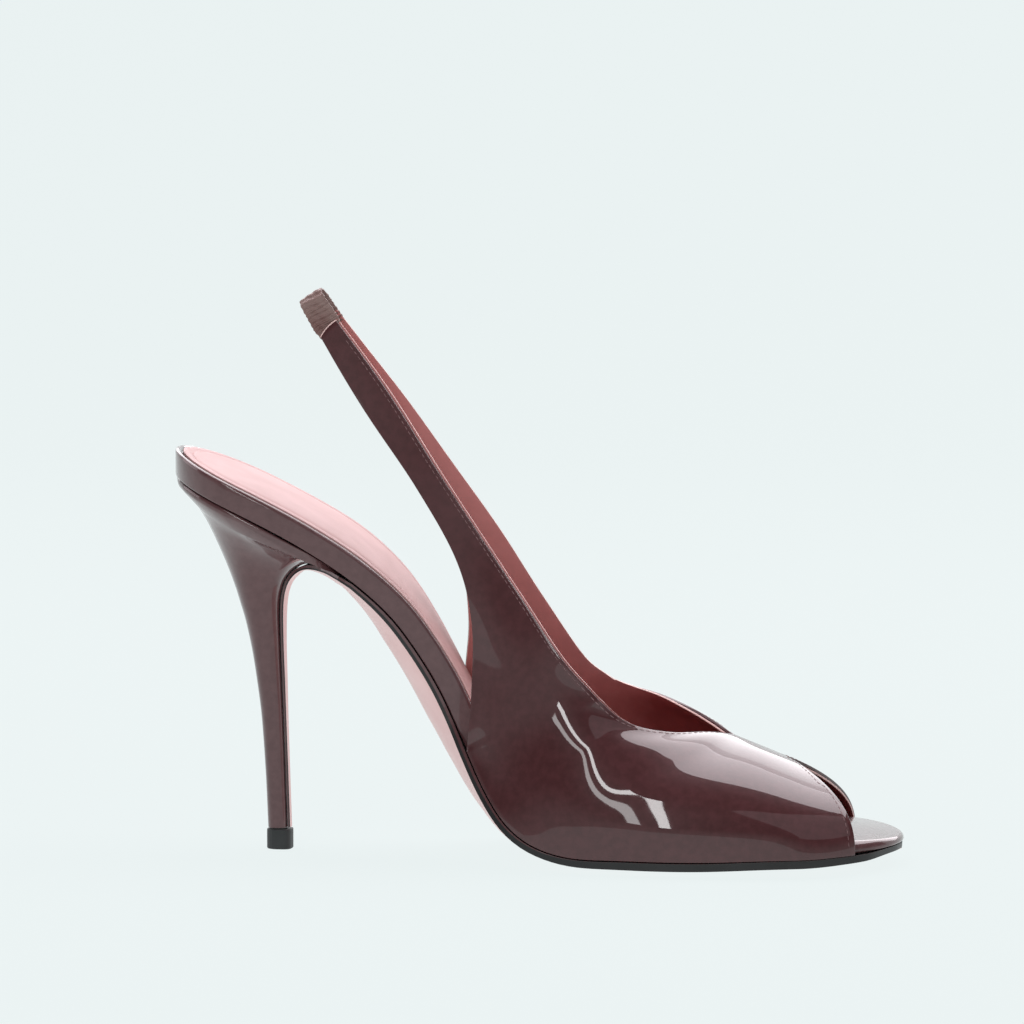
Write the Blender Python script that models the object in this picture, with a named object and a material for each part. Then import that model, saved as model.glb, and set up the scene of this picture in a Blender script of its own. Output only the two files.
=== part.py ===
"""Peep-toe slingback sandal on a stiletto heel, left foot, in patent leather.

Lengths in the tables are millimetres and angles are degrees; MM turns them into metres.
The shoe frame: X runs from the back of the heel to the toe, Y from the inner (medial) side
at minus to the outer (lateral) side at plus, Z up from the floor.
"""
import math

import bmesh
import bpy
import numpy as np

MM = 0.001
ORIGIN = np.array((107.7, 1.0, 0.0))    # middle of the whole shoe's floor box, in the shoe frame

# Driving sizes
BACK = (2.2, 116.6)     # X and Z of the footbed's top at the back of the heel
SOLE_LENGTH = 258.3     # along the footbed's top, heel to toe
HEEL_ROUND = 25.0       # length of the rounded back of the sole outline
TOE_ROUND = 27.5        # length of the rounded toe of the sole outline
GAP = 0.3               # clearance between neighbouring pieces
WALL = 1.6              # upper: patent leather and lining
SIDE_GAP = 0.8          # between the footbed's side and the foot of the upper's wall
SOCK_THICK = 0.8
SOCK_INSET = 2.5
SOCK_BED = 0.75         # depth of the bed for the sock, inside the footbed's rim
SOCK_END = 231.0
SOCK_ROUND = 22.0
SEAT_END = 64.0         # where the heel's top ends under the footbed
OUTSOLE_START = 68.0    # from here forward the outsole lies on the footbed
CORNER = {-1: 129.0, 1: 124.0}      # rear lower corners of the upper, along the sole
PEEP = {-1: 246.0, 1: 240.0}        # toe opening's lower corners, along the sole
INNER, OUTER = -1, 1                # medial and lateral sides, as signs of Y

# Sole sections, heel to toe. along: distance on the footbed's top; slope: fall towards the toe;
# middle and half: centre and half width; twist: rise of the inner edge; belly: bulge of the
# outsole's underside; board: thickness of the footbed; edge: thickness of the outsole's edge.
SOLE_COLUMNS = ("along", "slope", "middle", "half", "twist", "belly", "board", "edge")
SOLE_ROWS = (
    (0.0, 24.9, 0.0, 25.5, 0.0, 5.0, 7.0, 1.2),
    (25.0, 25.4, 0.0, 25.5, 0.0, 5.0, 6.6, 1.2),
    (50.0, 30.8, 0.2, 24.8, 0.0, 3.0, 6.5, 1.3),
    (70.0, 43.1, 0.8, 23.2, 0.7, 4.2, 6.5, 1.4),
    (90.0, 57.3, 2.0, 20.4, 1.9, 6.0, 6.5, 1.8),
    (110.0, 62.4, 3.2, 19.2, 2.5, 6.1, 6.5, 1.8),
    (125.0, 62.3, 3.3, 20.7, 2.2, 5.5, 6.5, 1.8),
    (140.0, 55.6, 2.4, 25.5, 1.8, 4.5, 6.3, 1.8),
    (150.0, 44.1, 1.5, 29.5, 1.4, 3.5, 6.0, 1.8),
    (160.0, 19.7, 1.2, 32.4, 1.0, 2.5, 5.6, 1.8),
    (172.0, 1.1, 1.0, 35.0, 0.6, 1.9, 5.2, 2.0),
    (190.0, 0.3, 1.0, 36.3, 0.2, 1.6, 5.0, 2.2),
    (215.0, -2.1, 0.4, 34.5, 0.0, 1.5, 4.8, 2.2),
    (232.0, 0.0, -0.2, 32.2, 0.0, 1.0, 4.5, 2.2),
    (246.0, 2.0, -0.4, 30.0, 0.0, 0.6, 3.4, 2.0),
    (258.3, 4.0, -2.0, 29.0, 0.0, 0.3, 1.9, 1.5),
)

# Heel sections, top to tip: back line, front line, half width, and the thickness there of the
# outsole's tongue that runs down the heel's front.
HEEL_COLUMNS = ("step", "back_x", "back_z", "front_x", "front_z", "half", "tongue")
HEEL_ROWS = (
    (0, 8.6, 99.6, 54.2, 79.4, 24.2, 1.2),
    (1, 11.4, 94.6, 48.7, 81.6, 19.6, 1.2),
    (2, 14.0, 89.0, 43.5, 82.1, 15.2, 1.2),
    (3, 16.7, 82.6, 39.3, 80.9, 11.8, 1.1),
    (4, 19.0, 76.4, 36.2, 78.4, 9.5, 1.0),
    (5, 20.7, 71.0, 34.5, 75.2, 8.2, 0.9),
    (6, 22.3, 65.5, 33.7, 70.0, 7.1, 0.9),
    (7, 24.0, 57.5, 33.6, 60.5, 5.6, 0.8),
    (8, 25.4, 48.5, 33.9, 49.5, 4.6, 0.8),
    (9, 26.7, 38.0, 34.2, 38.0, 3.9, 0.7),
    (10, 27.8, 22.0, 34.7, 22.0, 3.4, 0.7),
    (11, 28.5, 6.2, 35.2, 6.2, 3.4, 0.7),
)
HEEL_POINTS = 28        # corners of a heel section
HEEL_WAIST = (0.435, 0.5)           # where a section is widest, back to front: top, foot
HEEL_SQUARE = (8.0, 3.5)            # how square its front corners are: top, foot
TIP_HEIGHT = 5.7
TIP_GROW = 0.35         # how much the top piece stands out round the heel
RIM = 2.0               # height of the heel's rim under the footbed
RIM_FRONT = 0.4
RIM_LOOPS = ((0.0, 0.5), (0.6, 0.3), (1.0, 0.7))     # share of the rim's height, and inset
SOLE_CELLS = 8          # cells across the outsole
HEEL_PINCH = 0.14       # how much narrower a top section is behind than in front
BREAST_BELLY = 3.4      # bulge of the outsole where it turns down the heel

# Rungs of the upper run across the strap and panel, from the lower or rear edge to the topline,
# and from the sole to the ridge of the vamp. Those before the corner start on the rear edge.
STRAP_COLUMNS = ("rung", "low_x", "low_y", "low_z", "top_x", "top_y", "top_z")
STRAP_INNER = (
    (0, 43.9, -4.2, 149.9, 49.4, -4.2, 153.4),
    (2, 58.3, -7.5, 127.3, 65.9, -7.5, 132.1),
    (4, 74.3, -13.0, 106.0, 81.3, -12.6, 110.1),
    (6, 86.5, -16.7, 86.0, 95.6, -15.6, 90.0),
    (8, 91.4, -19.4, 68.7, 107.5, -19.8, 74.1),
    (10, 91.6, -20.6, 47.8, 119.3, -24.0, 58.2),
    (12, 90.5, -20.2, 31.8, 129.2, -24.5, 47.5),
)
STRAP_OUTER = (
    (0, 42.1, 4.2, 152.3, 48.0, 4.2, 155.9),
    (2, 58.0, 8.3, 127.5, 65.6, 8.0, 132.2),
    (4, 71.9, 13.5, 106.3, 79.7, 13.3, 111.3),
    (6, 80.9, 17.2, 88.0, 93.0, 16.4, 92.2),
    (8, 83.7, 21.0, 66.0, 104.6, 21.2, 72.6),
    (10, 81.8, 25.2, 46.0, 116.5, 26.0, 54.4),
    (12, 84.2, 25.8, 33.7, 125.8, 26.6, 48.0),
)
# Rungs of the vamp: distance along the sole, and the topline's or the ridge's point.
VAMP_COLUMNS = ("rung", "along", "top_x", "top_y", "top_z")
VAMP_INNER = (
    (12, 129.0, 129.2, -24.5, 47.5),
    (13, 137.0, 133.5, -22.8, 43.4),
    (14, 147.0, 138.0, -20.7, 40.6),
    (16, 170.0, 148.6, -14.7, 37.9),
    (18, 192.0, 159.1, -5.0, 37.1),
    (19, 203.0, 163.9, 0.0, 35.9),
    (21, 221.0, 171.3, -0.6, 33.2),
    (23, 246.0, 178.9, -1.5, 30.4),
)
VAMP_OUTER = (
    (12, 124.0, 125.8, 26.6, 48.0),
    (13, 133.0, 131.3, 25.2, 46.4),
    (14, 144.0, 137.9, 22.3, 45.1),
    (16, 168.0, 148.9, 14.3, 42.1),
    (18, 191.0, 159.1, 4.3, 38.3),
    (19, 202.0, 163.9, 0.0, 35.9),
    (21, 218.0, 171.3, -0.6, 33.2),
    (23, 240.0, 178.9, -1.5, 30.4),
)
# How each rung bends: stand, how upright it leaves its low end; roll, how level it reaches its
# top; sweep, how much it runs back along the ridge there; full, how square its shoulder is;
# bow, how far it swells outwards; fall, how steeply the outer side falls from the ridge.
BEND_COLUMNS = ("rung", "stand", "roll", "sweep", "full_inner", "full_outer", "bow", "fall")
BEND_ROWS = (
    (0, 0.0, 0.0, 0.0, 0.34, 0.34, 0.2, 0.0),
    (4, 0.0, 0.0, 0.0, 0.34, 0.34, 0.3, 0.0),
    (8, 0.1, 0.0, 0.0, 0.34, 0.34, 0.8, 0.0),
    (12, 0.7, 0.1, 0.0, 0.36, 0.36, 1.4, 0.0),
    (14, 1.0, 0.3, 0.0, 0.40, 0.40, 1.4, 0.0),
    (16, 1.0, 0.6, 0.0, 0.46, 0.46, 1.0, 0.0),
    (18, 1.0, 0.92, 0.0, 0.55, 0.53, 0.7, 0.1),
    (19, 1.0, 1.0, 0.0, 0.57, 0.54, 0.6, 0.15),
    (21, 1.0, 1.0, -0.35, 0.57, 0.54, 0.5, 0.2),
    (23, 1.0, 1.0, -0.95, 0.57, 0.44, 0.3, 0.2),
)
THROAT_RUNG = 19
STRAP_PLACES = (0, 1 / 3, 2 / 3) + tuple(1 + k / 2 for k in range(14))
RUNG_PLACES = STRAP_PLACES + tuple(8 + k / 3 for k in range(46))
END_ROUND = 2.4         # how far the corner of a strap's end is rounded back
RUNG_CELLS = 9
RIDGE_WAY = np.array((0.936, 0.0, -0.351))    # forward and down the ridge of the vamp

BAND_WAY = np.array((-0.53, 0.0, 0.848))    # up and back along the strap
BAND_ACROSS = np.array((0.848, 0.0, 0.53))
ELASTIC_WIDTH = 8.2
ELASTIC_THICK = 1.1
ELASTIC_RISE = 9.0      # from the middle of the inner strap's end to the top of the loop
ELASTIC_TURN = 4.0      # height of the rounded top
ELASTIC_TUCK = 4.4      # length of each leg inside its strap
ELASTIC_OUTER = 3.4     # how much higher the leg in the outer strap starts
ELASTIC_FLARE = 0.1     # how the legs spread, as the strap ends do
ELASTIC_SWELL = 0.9
ELASTIC_CELLS = 4
STRAP_GAP = 4.2         # from the middle of the shoe to each strap's end

BROWN = (0.085, 0.042, 0.045)
PINK = (0.80, 0.50, 0.46)
BLACK = (0.02, 0.019, 0.02)


def cubic(t, step, start, start_slope, end, end_slope):
    near = (1 + 2 * t) * (1 - t) ** 2 * start + t * (1 - t) ** 2 * step * start_slope
    far = t * t * (3 - 2 * t) * end + t * t * (t - 1) * step * end_slope
    return float(near + far)


def smooth(rows, columns, name, at):
    """Column of a table at a position, by a monotone cubic through its rows."""
    x = np.array([row[0] for row in rows], float)
    y = np.array([row[columns.index(name)] for row in rows], float)
    step = np.diff(x)
    rise = np.diff(y) / step
    slope = np.zeros(len(x))
    slope[0], slope[-1] = rise[0], rise[-1]
    for k in range(1, len(x) - 1):
        if rise[k - 1] * rise[k] > 0.0:
            before, after = 2 * step[k] + step[k - 1], step[k] + 2 * step[k - 1]
            slope[k] = (before + after) / (before / rise[k - 1] + after / rise[k])
    k = int(np.clip(np.searchsorted(x, at) - 1, 0, len(step) - 1))
    t = (min(max(at, x[0]), x[-1]) - x[k]) / step[k]
    return cubic(t, step[k], y[k], slope[k], y[k + 1], slope[k + 1])


def flowing(rows, columns, name, at):
    """Column of a table at a position, by a cubic that rounds its peaks as well."""
    x = np.array([row[0] for row in rows], float)
    y = np.array([row[columns.index(name)] for row in rows], float)
    slope = np.gradient(y, x)
    k = int(np.clip(np.searchsorted(x, at) - 1, 0, len(x) - 2))
    step = x[k + 1] - x[k]
    t = (min(max(at, x[0]), x[-1]) - x[k]) / step
    return cubic(t, step, y[k], slope[k], y[k + 1], slope[k + 1])


def ease(start, end, at):
    t = min(max((at - start) / (end - start), 0.0), 1.0)
    return t * t * (3 - 2 * t)


def unit(vector):
    return np.array(vector, float) / np.linalg.norm(vector)


def sole(name, along):
    return smooth(SOLE_ROWS, SOLE_COLUMNS, name, along)


SPINE_STEP = 0.5
SPINE_ALONG = np.arange(0.0, SOLE_LENGTH + 5.0, SPINE_STEP)
SPINE_SLOPE = np.radians([flowing(SOLE_ROWS, SOLE_COLUMNS, "slope", a) for a in SPINE_ALONG])
SPINE_X = BACK[0] + np.concatenate(([0.0], np.cumsum(np.cos(SPINE_SLOPE[:-1])))) * SPINE_STEP
SPINE_Z = BACK[1] - np.concatenate(([0.0], np.cumsum(np.sin(SPINE_SLOPE[:-1])))) * SPINE_STEP


def on_sole(along, across, up):
    """Point at a place on the footbed's top, raised square to it."""
    slope = np.interp(along, SPINE_ALONG, SPINE_SLOPE)
    lean = -sole("twist", along) * (across - sole("middle", along)) / sole("half", along)
    lift = up + lean
    x = np.interp(along, SPINE_ALONG, SPINE_X) + math.sin(slope) * lift
    z = np.interp(along, SPINE_ALONG, SPINE_Z) + math.cos(slope) * lift
    return np.array((x, across, z))


def outline_across(along, side, rounds=(HEEL_ROUND, TOE_ROUND), end=SOLE_LENGTH):
    """Y of the footbed's outline, rounded at both ends."""
    width = sole("half", along)
    if along < rounds[0]:
        width *= math.sqrt(max(1 - ((rounds[0] - along) / rounds[0]) ** 2, 0.0))
    if along > end - rounds[1]:
        width *= math.sqrt(max(1 - ((along - end + rounds[1]) / rounds[1]) ** 2, 0.0))
    return sole("middle", along) + side * width


def edge_place(along, side, out, rounds=(HEEL_ROUND, TOE_ROUND), end=SOLE_LENGTH):
    """Along and across of a point pushed out from the outline, square to it."""
    step = 0.05
    before, after = max(along - step, 0.0), min(along + step, end)
    run = after - before
    rise = outline_across(after, side, rounds, end) - outline_across(before, side, rounds, end)
    normal = unit((-rise * side, run * side))
    return along + normal[0] * out, outline_across(along, side, rounds, end) + normal[1] * out


def upright_shift(along, up):
    """Forward shift that makes the sides stand upright, not square to the seat, at the back."""
    slope = np.interp(along, SPINE_ALONG, SPINE_SLOPE)
    return -up * math.tan(slope) * (1 - ease(15, 45, along))


def stations(start, end, rounds, pitch=6.0, cap_steps=7):
    """Places along the sole, close together where the outline turns round its ends."""
    places = [start + rounds[0] * (1 - math.cos(math.radians(90 * k / cap_steps)))
              for k in range(cap_steps)]
    middle_start, middle_end = start + rounds[0], end - rounds[1]
    count = round((middle_end - middle_start) / pitch)
    places += [middle_start + (middle_end - middle_start) * k / count for k in range(count)]
    places += [middle_end + rounds[1] * math.sin(math.radians(90 * k / cap_steps))
               for k in range(cap_steps + 1)]
    return places


def solid(name, verts, faces, material):
    mesh = bpy.data.meshes.new(name)
    bm = bmesh.new()
    made = [bm.verts.new(tuple((np.array(v) - ORIGIN) * MM)) for v in verts]
    for face in faces:
        bm.faces.new([made[k] for k in face])
    bmesh.ops.triangulate(bm, faces=[f for f in bm.faces if len(f.verts) > 4])
    bmesh.ops.recalc_face_normals(bm, faces=bm.faces)
    bm.to_mesh(mesh)
    bm.free()
    mesh.shade_smooth()
    mesh.set_sharp_from_angle(angle=math.radians(40))
    mesh.materials.append(material)
    piece = bpy.data.objects.new(name, mesh)
    bpy.context.scene.collection.objects.link(piece)
    return piece


def material(name, colour, roughness, coat=0.0):
    made = bpy.data.materials.new(name)
    made.use_nodes = True
    shader = made.node_tree.nodes["Principled BSDF"]
    shader.inputs["Base Color"].default_value = (*colour, 1.0)
    shader.inputs["Roughness"].default_value = roughness
    shader.inputs["Coat Weight"].default_value = coat
    return made


def ring_height(ring, along):
    return ring[2] - ring[1] * sole("board", along)


def ring_ids(loop):
    """Corners of a loop in order round the sole, up one side and back down the other."""
    inner = [ref for k, side, place, ref in loop if side == INNER]
    outer = [ref for k, side, place, ref in loop if side == OUTER]
    return inner + outer[::-1]


def slab(name, finish, rings, places, rounds, end, columns=4):
    """Sheet on the sole with a moulded edge. Each ring, bottom to top, gives how far in it lies,
    what share of the board's thickness it lies down, and a height added to that."""
    verts, faces, loops = [], [], []
    last = len(places) - 1
    for ring in rings:
        loop = []
        for k, along in enumerate(places):
            for side in ((INNER, OUTER) if 0 < k < last else (INNER,)):
                place = edge_place(along, side, -ring[0], rounds, end)
                if k == 0:
                    place = (along + ring[0], sole("middle", along))
                if k == last:
                    place = (along - ring[0], sole("middle", along))
                up = ring_height(ring, place[0])
                place = (place[0] + upright_shift(place[0], up), place[1])
                loop.append((k, side, place, len(verts)))
                verts.append(on_sole(*place, up))
        loops.append(loop)
    for low, high in zip(loops, loops[1:]):
        a, b = ring_ids(low), ring_ids(high)
        for k in range(len(a)):
            m = (k + 1) % len(a)
            faces.append((a[k], a[m], b[m], b[k]))
    for loop, ring in ((loops[0], rings[0]), (loops[-1], rings[-1])):
        rows = []
        for k in range(len(places)):
            ends = [(place, ref) for j, side, place, ref in loop if j == k]
            if len(ends) == 1:
                rows.append([ends[0][1]] * (columns + 1))
                continue
            (first, first_ref), (second, second_ref) = ends
            row = [first_ref]
            for c in range(1, columns):
                place = [first[i] + (second[i] - first[i]) * c / columns for i in (0, 1)]
                row.append(len(verts))
                verts.append(on_sole(*place, ring_height(ring, place[0])))
            rows.append(row + [second_ref])
        for low, high in zip(rows, rows[1:]):
            for c in range(columns):
                faces.append(tuple(dict.fromkeys((low[c], low[c + 1], high[c + 1], high[c]))))
    return solid(name, verts, faces, finish)


def footbed():
    places = stations(0.0, SOLE_LENGTH, (HEEL_ROUND, TOE_ROUND))
    rings = (
        (0.35, 1.0, 0.0),
        (0.0, 1.0, 0.35),
        (0.0, 0.0, -1.0),
        (0.25, 0.0, -0.4),
        (0.8, 0.0, -0.05),
        (1.3, 0.0, 0.0),
        (1.8, 0.0, -0.15),
        (2.1, 0.0, -SOCK_BED),
    )
    return slab("footbed", material("footbed_patent", BROWN, 0.25, 1.0), rings, places,
                (HEEL_ROUND, TOE_ROUND), SOLE_LENGTH)


def insole_sock():
    rounds = (HEEL_ROUND, SOCK_ROUND)
    places = stations(0.0, SOCK_END, rounds)
    low, high = GAP - SOCK_BED, GAP - SOCK_BED + SOCK_THICK
    rings = (
        (SOCK_INSET, 0.0, low),
        (SOCK_INSET, 0.0, high - 0.25),
        (SOCK_INSET + 0.3, 0.0, high),
    )
    return slab("insole_sock", material("sock_leather", PINK, 0.5), rings, places, rounds, SOCK_END)


def overhang(along, side):
    """How far the outsole's edge stands out from the footbed: it carries the upper's wall."""
    covered = ease(CORNER[side] - 10.0, CORNER[side], along)
    covered -= ease(PEEP[side] + 2.0, PEEP[side] + 10.0, along)
    toe = ease(SOLE_LENGTH - TOE_ROUND, SOLE_LENGTH - 12.0, along)
    return 0.4 + 0.5 * toe + covered * (WALL + SIDE_GAP - 0.3 - 0.5 * toe)


def heel_value(name, step):
    return flowing(HEEL_ROWS, HEEL_COLUMNS, name, step)


def front_normal(step):
    """Direction from the heel's front line out of the shoe, in X and Z."""
    before, after = max(step - 0.02, 0.0), min(step + 0.02, HEEL_ROWS[-1][0])
    run = [heel_value(name, after) - heel_value(name, before) for name in ("front_x", "front_z")]
    return unit((-run[1], run[0]))


def breast_lean(step, y):
    """Rise that brings the top of the heel's front to the twist of the footbed over it."""
    return -sole("twist", SEAT_END) * y / sole("half", SEAT_END) * ease(2.0, 0.0, step)


def across_shape(depth):
    """Bulge of the outsole at each of its cells, from one edge to the other."""
    return [depth * (1 - abs(2 * c / SOLE_CELLS - 1) ** 2.4) for c in range(1, SOLE_CELLS)]


def tube(name, loops, finish):
    """Solid through closed loops of equal size, capped at both ends."""
    size = len(loops[0])
    verts = [point for loop in loops for point in loop]
    faces = [tuple(range(size)), tuple(range(len(verts) - size, len(verts)))]
    for start in range(size, len(verts), size):
        for k in range(size):
            m = (k + 1) % size
            faces.append((start - size + k, start - size + m, start + m, start + k))
    return solid(name, verts, faces, finish)


def tongue_loop(step):
    """Section of the outsole where it runs down the heel's front."""
    normal = front_normal(step)
    outer = np.array((heel_value("front_x", step), heel_value("front_z", step)))
    inner = outer - normal * heel_value("tongue", step)
    half = heel_value("half", step) * 0.97
    middle = 0.5 * ease(5.0, 0.0, step)
    ys = [middle + half * (2 * c / SOLE_CELLS - 1) for c in range(SOLE_CELLS + 1)]
    bulge = [0.0] + across_shape(BREAST_BELLY * ease(3.5, 0.0, step)) + [0.0]
    loop = [(inner[0], y, inner[1] + breast_lean(step, y)) for y in (ys[0], ys[-1])]
    for c in range(SOLE_CELLS, -1, -1):
        x, z = outer + normal * bulge[c]
        loop.append((x, ys[c], z + breast_lean(step, ys[c])))
    return loop


def sole_loop(along):
    """Section of the outsole under the footbed; its lowest part is flat on the floor."""
    top = -sole("board", along) - GAP
    low = top - sole("edge", along)
    left, right = (edge_place(along, side, overhang(along, side)) for side in (INNER, OUTER))
    bulge = [0.0] + across_shape(sole("belly", along)) + [0.0]
    loop = [on_sole(*left, top), on_sole(*right, top)]
    for c in range(SOLE_CELLS, -1, -1):
        place = [left[i] + (right[i] - left[i]) * c / SOLE_CELLS for i in (0, 1)]
        loop.append(on_sole(*place, low - bulge[c]))
    return [(x, y, max(z, 0.0)) for x, y, z in loop]


def outsole():
    loops = [tongue_loop(11 - k / 3) for k in range(34)]
    places = stations(0.0, SOLE_LENGTH, (HEEL_ROUND, TOE_ROUND), cap_steps=10)
    loops += [sole_loop(along) for along in places[:-1] if along >= OUTSOLE_START]
    return tube("outsole", loops, material("outsole_leather", PINK, 0.45))


def section(step):
    """Heel section from back (0) to front (1): round behind, with rounded corners in front."""
    low = ease(0, 6, step)
    centre = HEEL_WAIST[0] + (HEEL_WAIST[1] - HEEL_WAIST[0]) * low
    power = 2 / (HEEL_SQUARE[0] + (HEEL_SQUARE[1] - HEEL_SQUARE[0]) * low)
    shape = []
    for k in range(HEEL_POINTS):
        c = math.cos(2 * math.pi * k / HEEL_POINTS)
        s = math.sin(2 * math.pi * k / HEEL_POINTS)
        if c < 0:
            shape.append((centre + centre * c, s))
        else:
            shape.append((centre + (1 - centre) * c ** power, math.copysign(abs(s) ** power, s)))
    return shape


def rim_loop(share, inset):
    """One loop of the heel's rim, which follows the footbed's outline."""
    loop = []
    for u, y in section(0):
        along = u * SEAT_END
        side = INNER if y < 0 else OUTER
        width = abs(outline_across(along, side) - sole("middle", along)) - inset
        across = sole("middle", along) + width * (side if u < HEEL_WAIST[0] else y)
        along += inset * (1 - 2 * u)
        height = RIM + (RIM_FRONT - RIM) * ease(20, 50, along)
        up = -sole("board", along) - GAP - share * height
        loop.append(on_sole(along + upright_shift(along, up), across, up))
    return loop


def heel_loop(step):
    """Heel section at a step down its back and front lines; the outsole's tongue lies in front."""
    back = np.array((heel_value("back_x", step), heel_value("back_z", step)))
    front = np.array((heel_value("front_x", step), heel_value("front_z", step)))
    front -= front_normal(step) * (heel_value("tongue", step) + GAP)
    loop = []
    for u, y in section(step):
        x, z = back + (front - back) * u
        across = heel_value("half", step) * y * (1 - HEEL_PINCH * (1 - u) * ease(2.5, 0.0, step))
        loop.append((x, across, z + breast_lean(step, across) * u))
    return loop


def heel():
    loops = [rim_loop(share, inset) for share, inset in RIM_LOOPS]
    loops += [heel_loop(k / 2) for k in range(23)]
    return tube("heel", loops, material("heel_patent", BROWN, 0.25, 1.0))


def heel_tip():
    foot = dict(zip(HEEL_COLUMNS, HEEL_ROWS[-1]))
    edge = 0.3
    soft = TIP_GROW - 0.1
    loops = []
    for z, grow in ((0.0, soft), (edge, TIP_GROW), (TIP_HEIGHT - edge, TIP_GROW), (TIP_HEIGHT, soft)):
        back, front = foot["back_x"] - grow, foot["front_x"] + grow
        loops.append([(back + (front - back) * u, (foot["half"] + grow) * y, z)
                      for u, y in section(foot["step"])])
    return tube("heel_tip", loops, material("tip_rubber", BLACK, 0.5))


def rung_ends(rung, side):
    """Low and top ends of one rung of the upper's outer face."""
    strap, vamp = (STRAP_INNER, VAMP_INNER) if side == INNER else (STRAP_OUTER, VAMP_OUTER)
    if rung < 12:
        low = np.array([flowing(strap, STRAP_COLUMNS, c, rung) for c in ("low_x", "low_y", "low_z")])
        top = np.array([flowing(strap, STRAP_COLUMNS, c, rung) for c in ("top_x", "top_y", "top_z")])
        return low, top
    along = flowing(vamp, VAMP_COLUMNS, "along", rung)
    place = edge_place(along, side, WALL + SIDE_GAP)
    low = on_sole(*place, -sole("board", along))
    top = np.array([flowing(vamp, VAMP_COLUMNS, c, rung) for c in ("top_x", "top_y", "top_z")])
    return low, top


def rung_points(rung, side):
    low, top = rung_ends(rung, side)
    bend = {c: smooth(BEND_ROWS, BEND_COLUMNS, c, rung) for c in BEND_COLUMNS[1:]}
    chord = unit(top - low)
    vamp = VAMP_INNER if side == INNER else VAMP_OUTER
    along = smooth(vamp, VAMP_COLUMNS, "along", max(rung, 12))
    slope = np.interp(along, SPINE_ALONG, SPINE_SLOPE)
    upright = np.array((math.sin(slope), 0.0, math.cos(slope)))
    fall = bend["fall"] if side == OUTER else 0.0
    level = unit(np.array((0.0, -side, fall)) + bend["sweep"] * RIDGE_WAY)
    leave = unit(chord * (1 - bend["stand"]) + upright * bend["stand"])
    reach = unit(chord * (1 - bend["roll"]) + level * bend["roll"])
    full = bend["full_inner" if side == INNER else "full_outer"]
    a = low + leave * full * max(np.dot(top - low, leave), 1.0)
    b = top - reach * full * max(np.dot(top - low, reach), 1.0)
    points = []
    for k in range(RUNG_CELLS + 1):
        t = k / RUNG_CELLS
        point = (1 - t) ** 3 * low + 3 * t * (1 - t) ** 2 * a + 3 * t * t * (1 - t) * b + t ** 3 * top
        point[1] += side * bend["bow"] * 4 * t * (1 - t)
        corner = (1 - t) ** 3 + 0.3 * t ** 4
        point -= BAND_WAY * END_ROUND * corner * max(1 - 1.5 * rung, 0.0)
        points.append(point)
    return points


def upper():
    verts, faces, grids = [], [], {}
    for side in (INNER, OUTER):
        grid = []
        for k, rung in enumerate(RUNG_PLACES):
            row = []
            for c, point in enumerate(rung_points(rung, side)):
                if side == OUTER and c == RUNG_CELLS and rung >= THROAT_RUNG:
                    row.append(grids[INNER][k][c])
                    continue
                row.append(len(verts))
                verts.append(point)
            grid.append(row)
        grids[side] = grid
        for low, high in zip(grid, grid[1:]):
            for c in range(RUNG_CELLS):
                cell = (low[c], low[c + 1], high[c + 1], high[c])
                faces.append(cell if side == OUTER else cell[::-1])
    return sheet("upper", verts, faces, material("upper_patent", BROWN, 0.2, 1.0), WALL)


def sheet(name, verts, faces, finish, thickness):
    """Open surface with its outer face forward, thickened inwards."""
    mesh = bpy.data.meshes.new(name)
    bm = bmesh.new()
    made = [bm.verts.new(tuple((np.array(v) - ORIGIN) * MM)) for v in verts]
    for face in faces:
        bm.faces.new([made[k] for k in face])
    bm.normal_update()
    bm.to_mesh(mesh)
    bm.free()
    mesh.shade_smooth()
    mesh.materials.append(finish)
    piece = bpy.data.objects.new(name, mesh)
    bpy.context.scene.collection.objects.link(piece)
    wall = piece.modifiers.new("wall", "SOLIDIFY")
    wall.thickness = thickness * MM
    wall.offset = -1.0
    wall.use_even_offset = True
    wall.use_rim = True
    return piece


def heel_elastic():
    """Gathered band round the back of the sling, tucked inside both strap ends."""
    strap_end = (np.array(STRAP_INNER[0][1:4]) + np.array(STRAP_INNER[0][4:7])) / 2
    centre = strap_end * (1, 0, 1)
    half_gap = STRAP_GAP - WALL - GAP
    spread = half_gap + ELASTIC_FLARE * ELASTIC_TUCK
    path = [(-ELASTIC_TUCK, -spread), (0.0, -half_gap)]
    for k in range(13):
        angle = math.radians(180 * k / 12)
        up = ELASTIC_RISE - ELASTIC_TURN * (1 - math.sin(angle))
        path.append((up, -(half_gap + ELASTIC_SWELL * math.sin(angle)) * math.cos(angle)))
    path += [(ELASTIC_OUTER, half_gap), (ELASTIC_OUTER - ELASTIC_TUCK, spread)]
    verts, faces = [], []
    columns = ELASTIC_CELLS + 1
    for up, y in path:
        width = ELASTIC_WIDTH * (1.0 - 0.012 * max(up, 0.0) - 0.05 * max(-up, 0.0))
        for c in range(columns):
            across = (c / ELASTIC_CELLS - 0.5) * width
            verts.append(centre + BAND_WAY * up + BAND_ACROSS * across + np.array((0.0, y, 0.0)))
    for k in range(len(path) - 1):
        for c in range(ELASTIC_CELLS):
            a = k * columns + c
            faces.append((a, a + 1, a + columns + 1, a + columns))
    return sheet("heel_elastic", verts, faces, material("elastic_cloth", BROWN, 0.8), ELASTIC_THICK)


def main():
    for old in list(bpy.data.objects):
        bpy.data.objects.remove(old)
    outsole()
    footbed()
    insole_sock()
    heel()
    heel_tip()
    upper()
    heel_elastic()


main()
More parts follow.
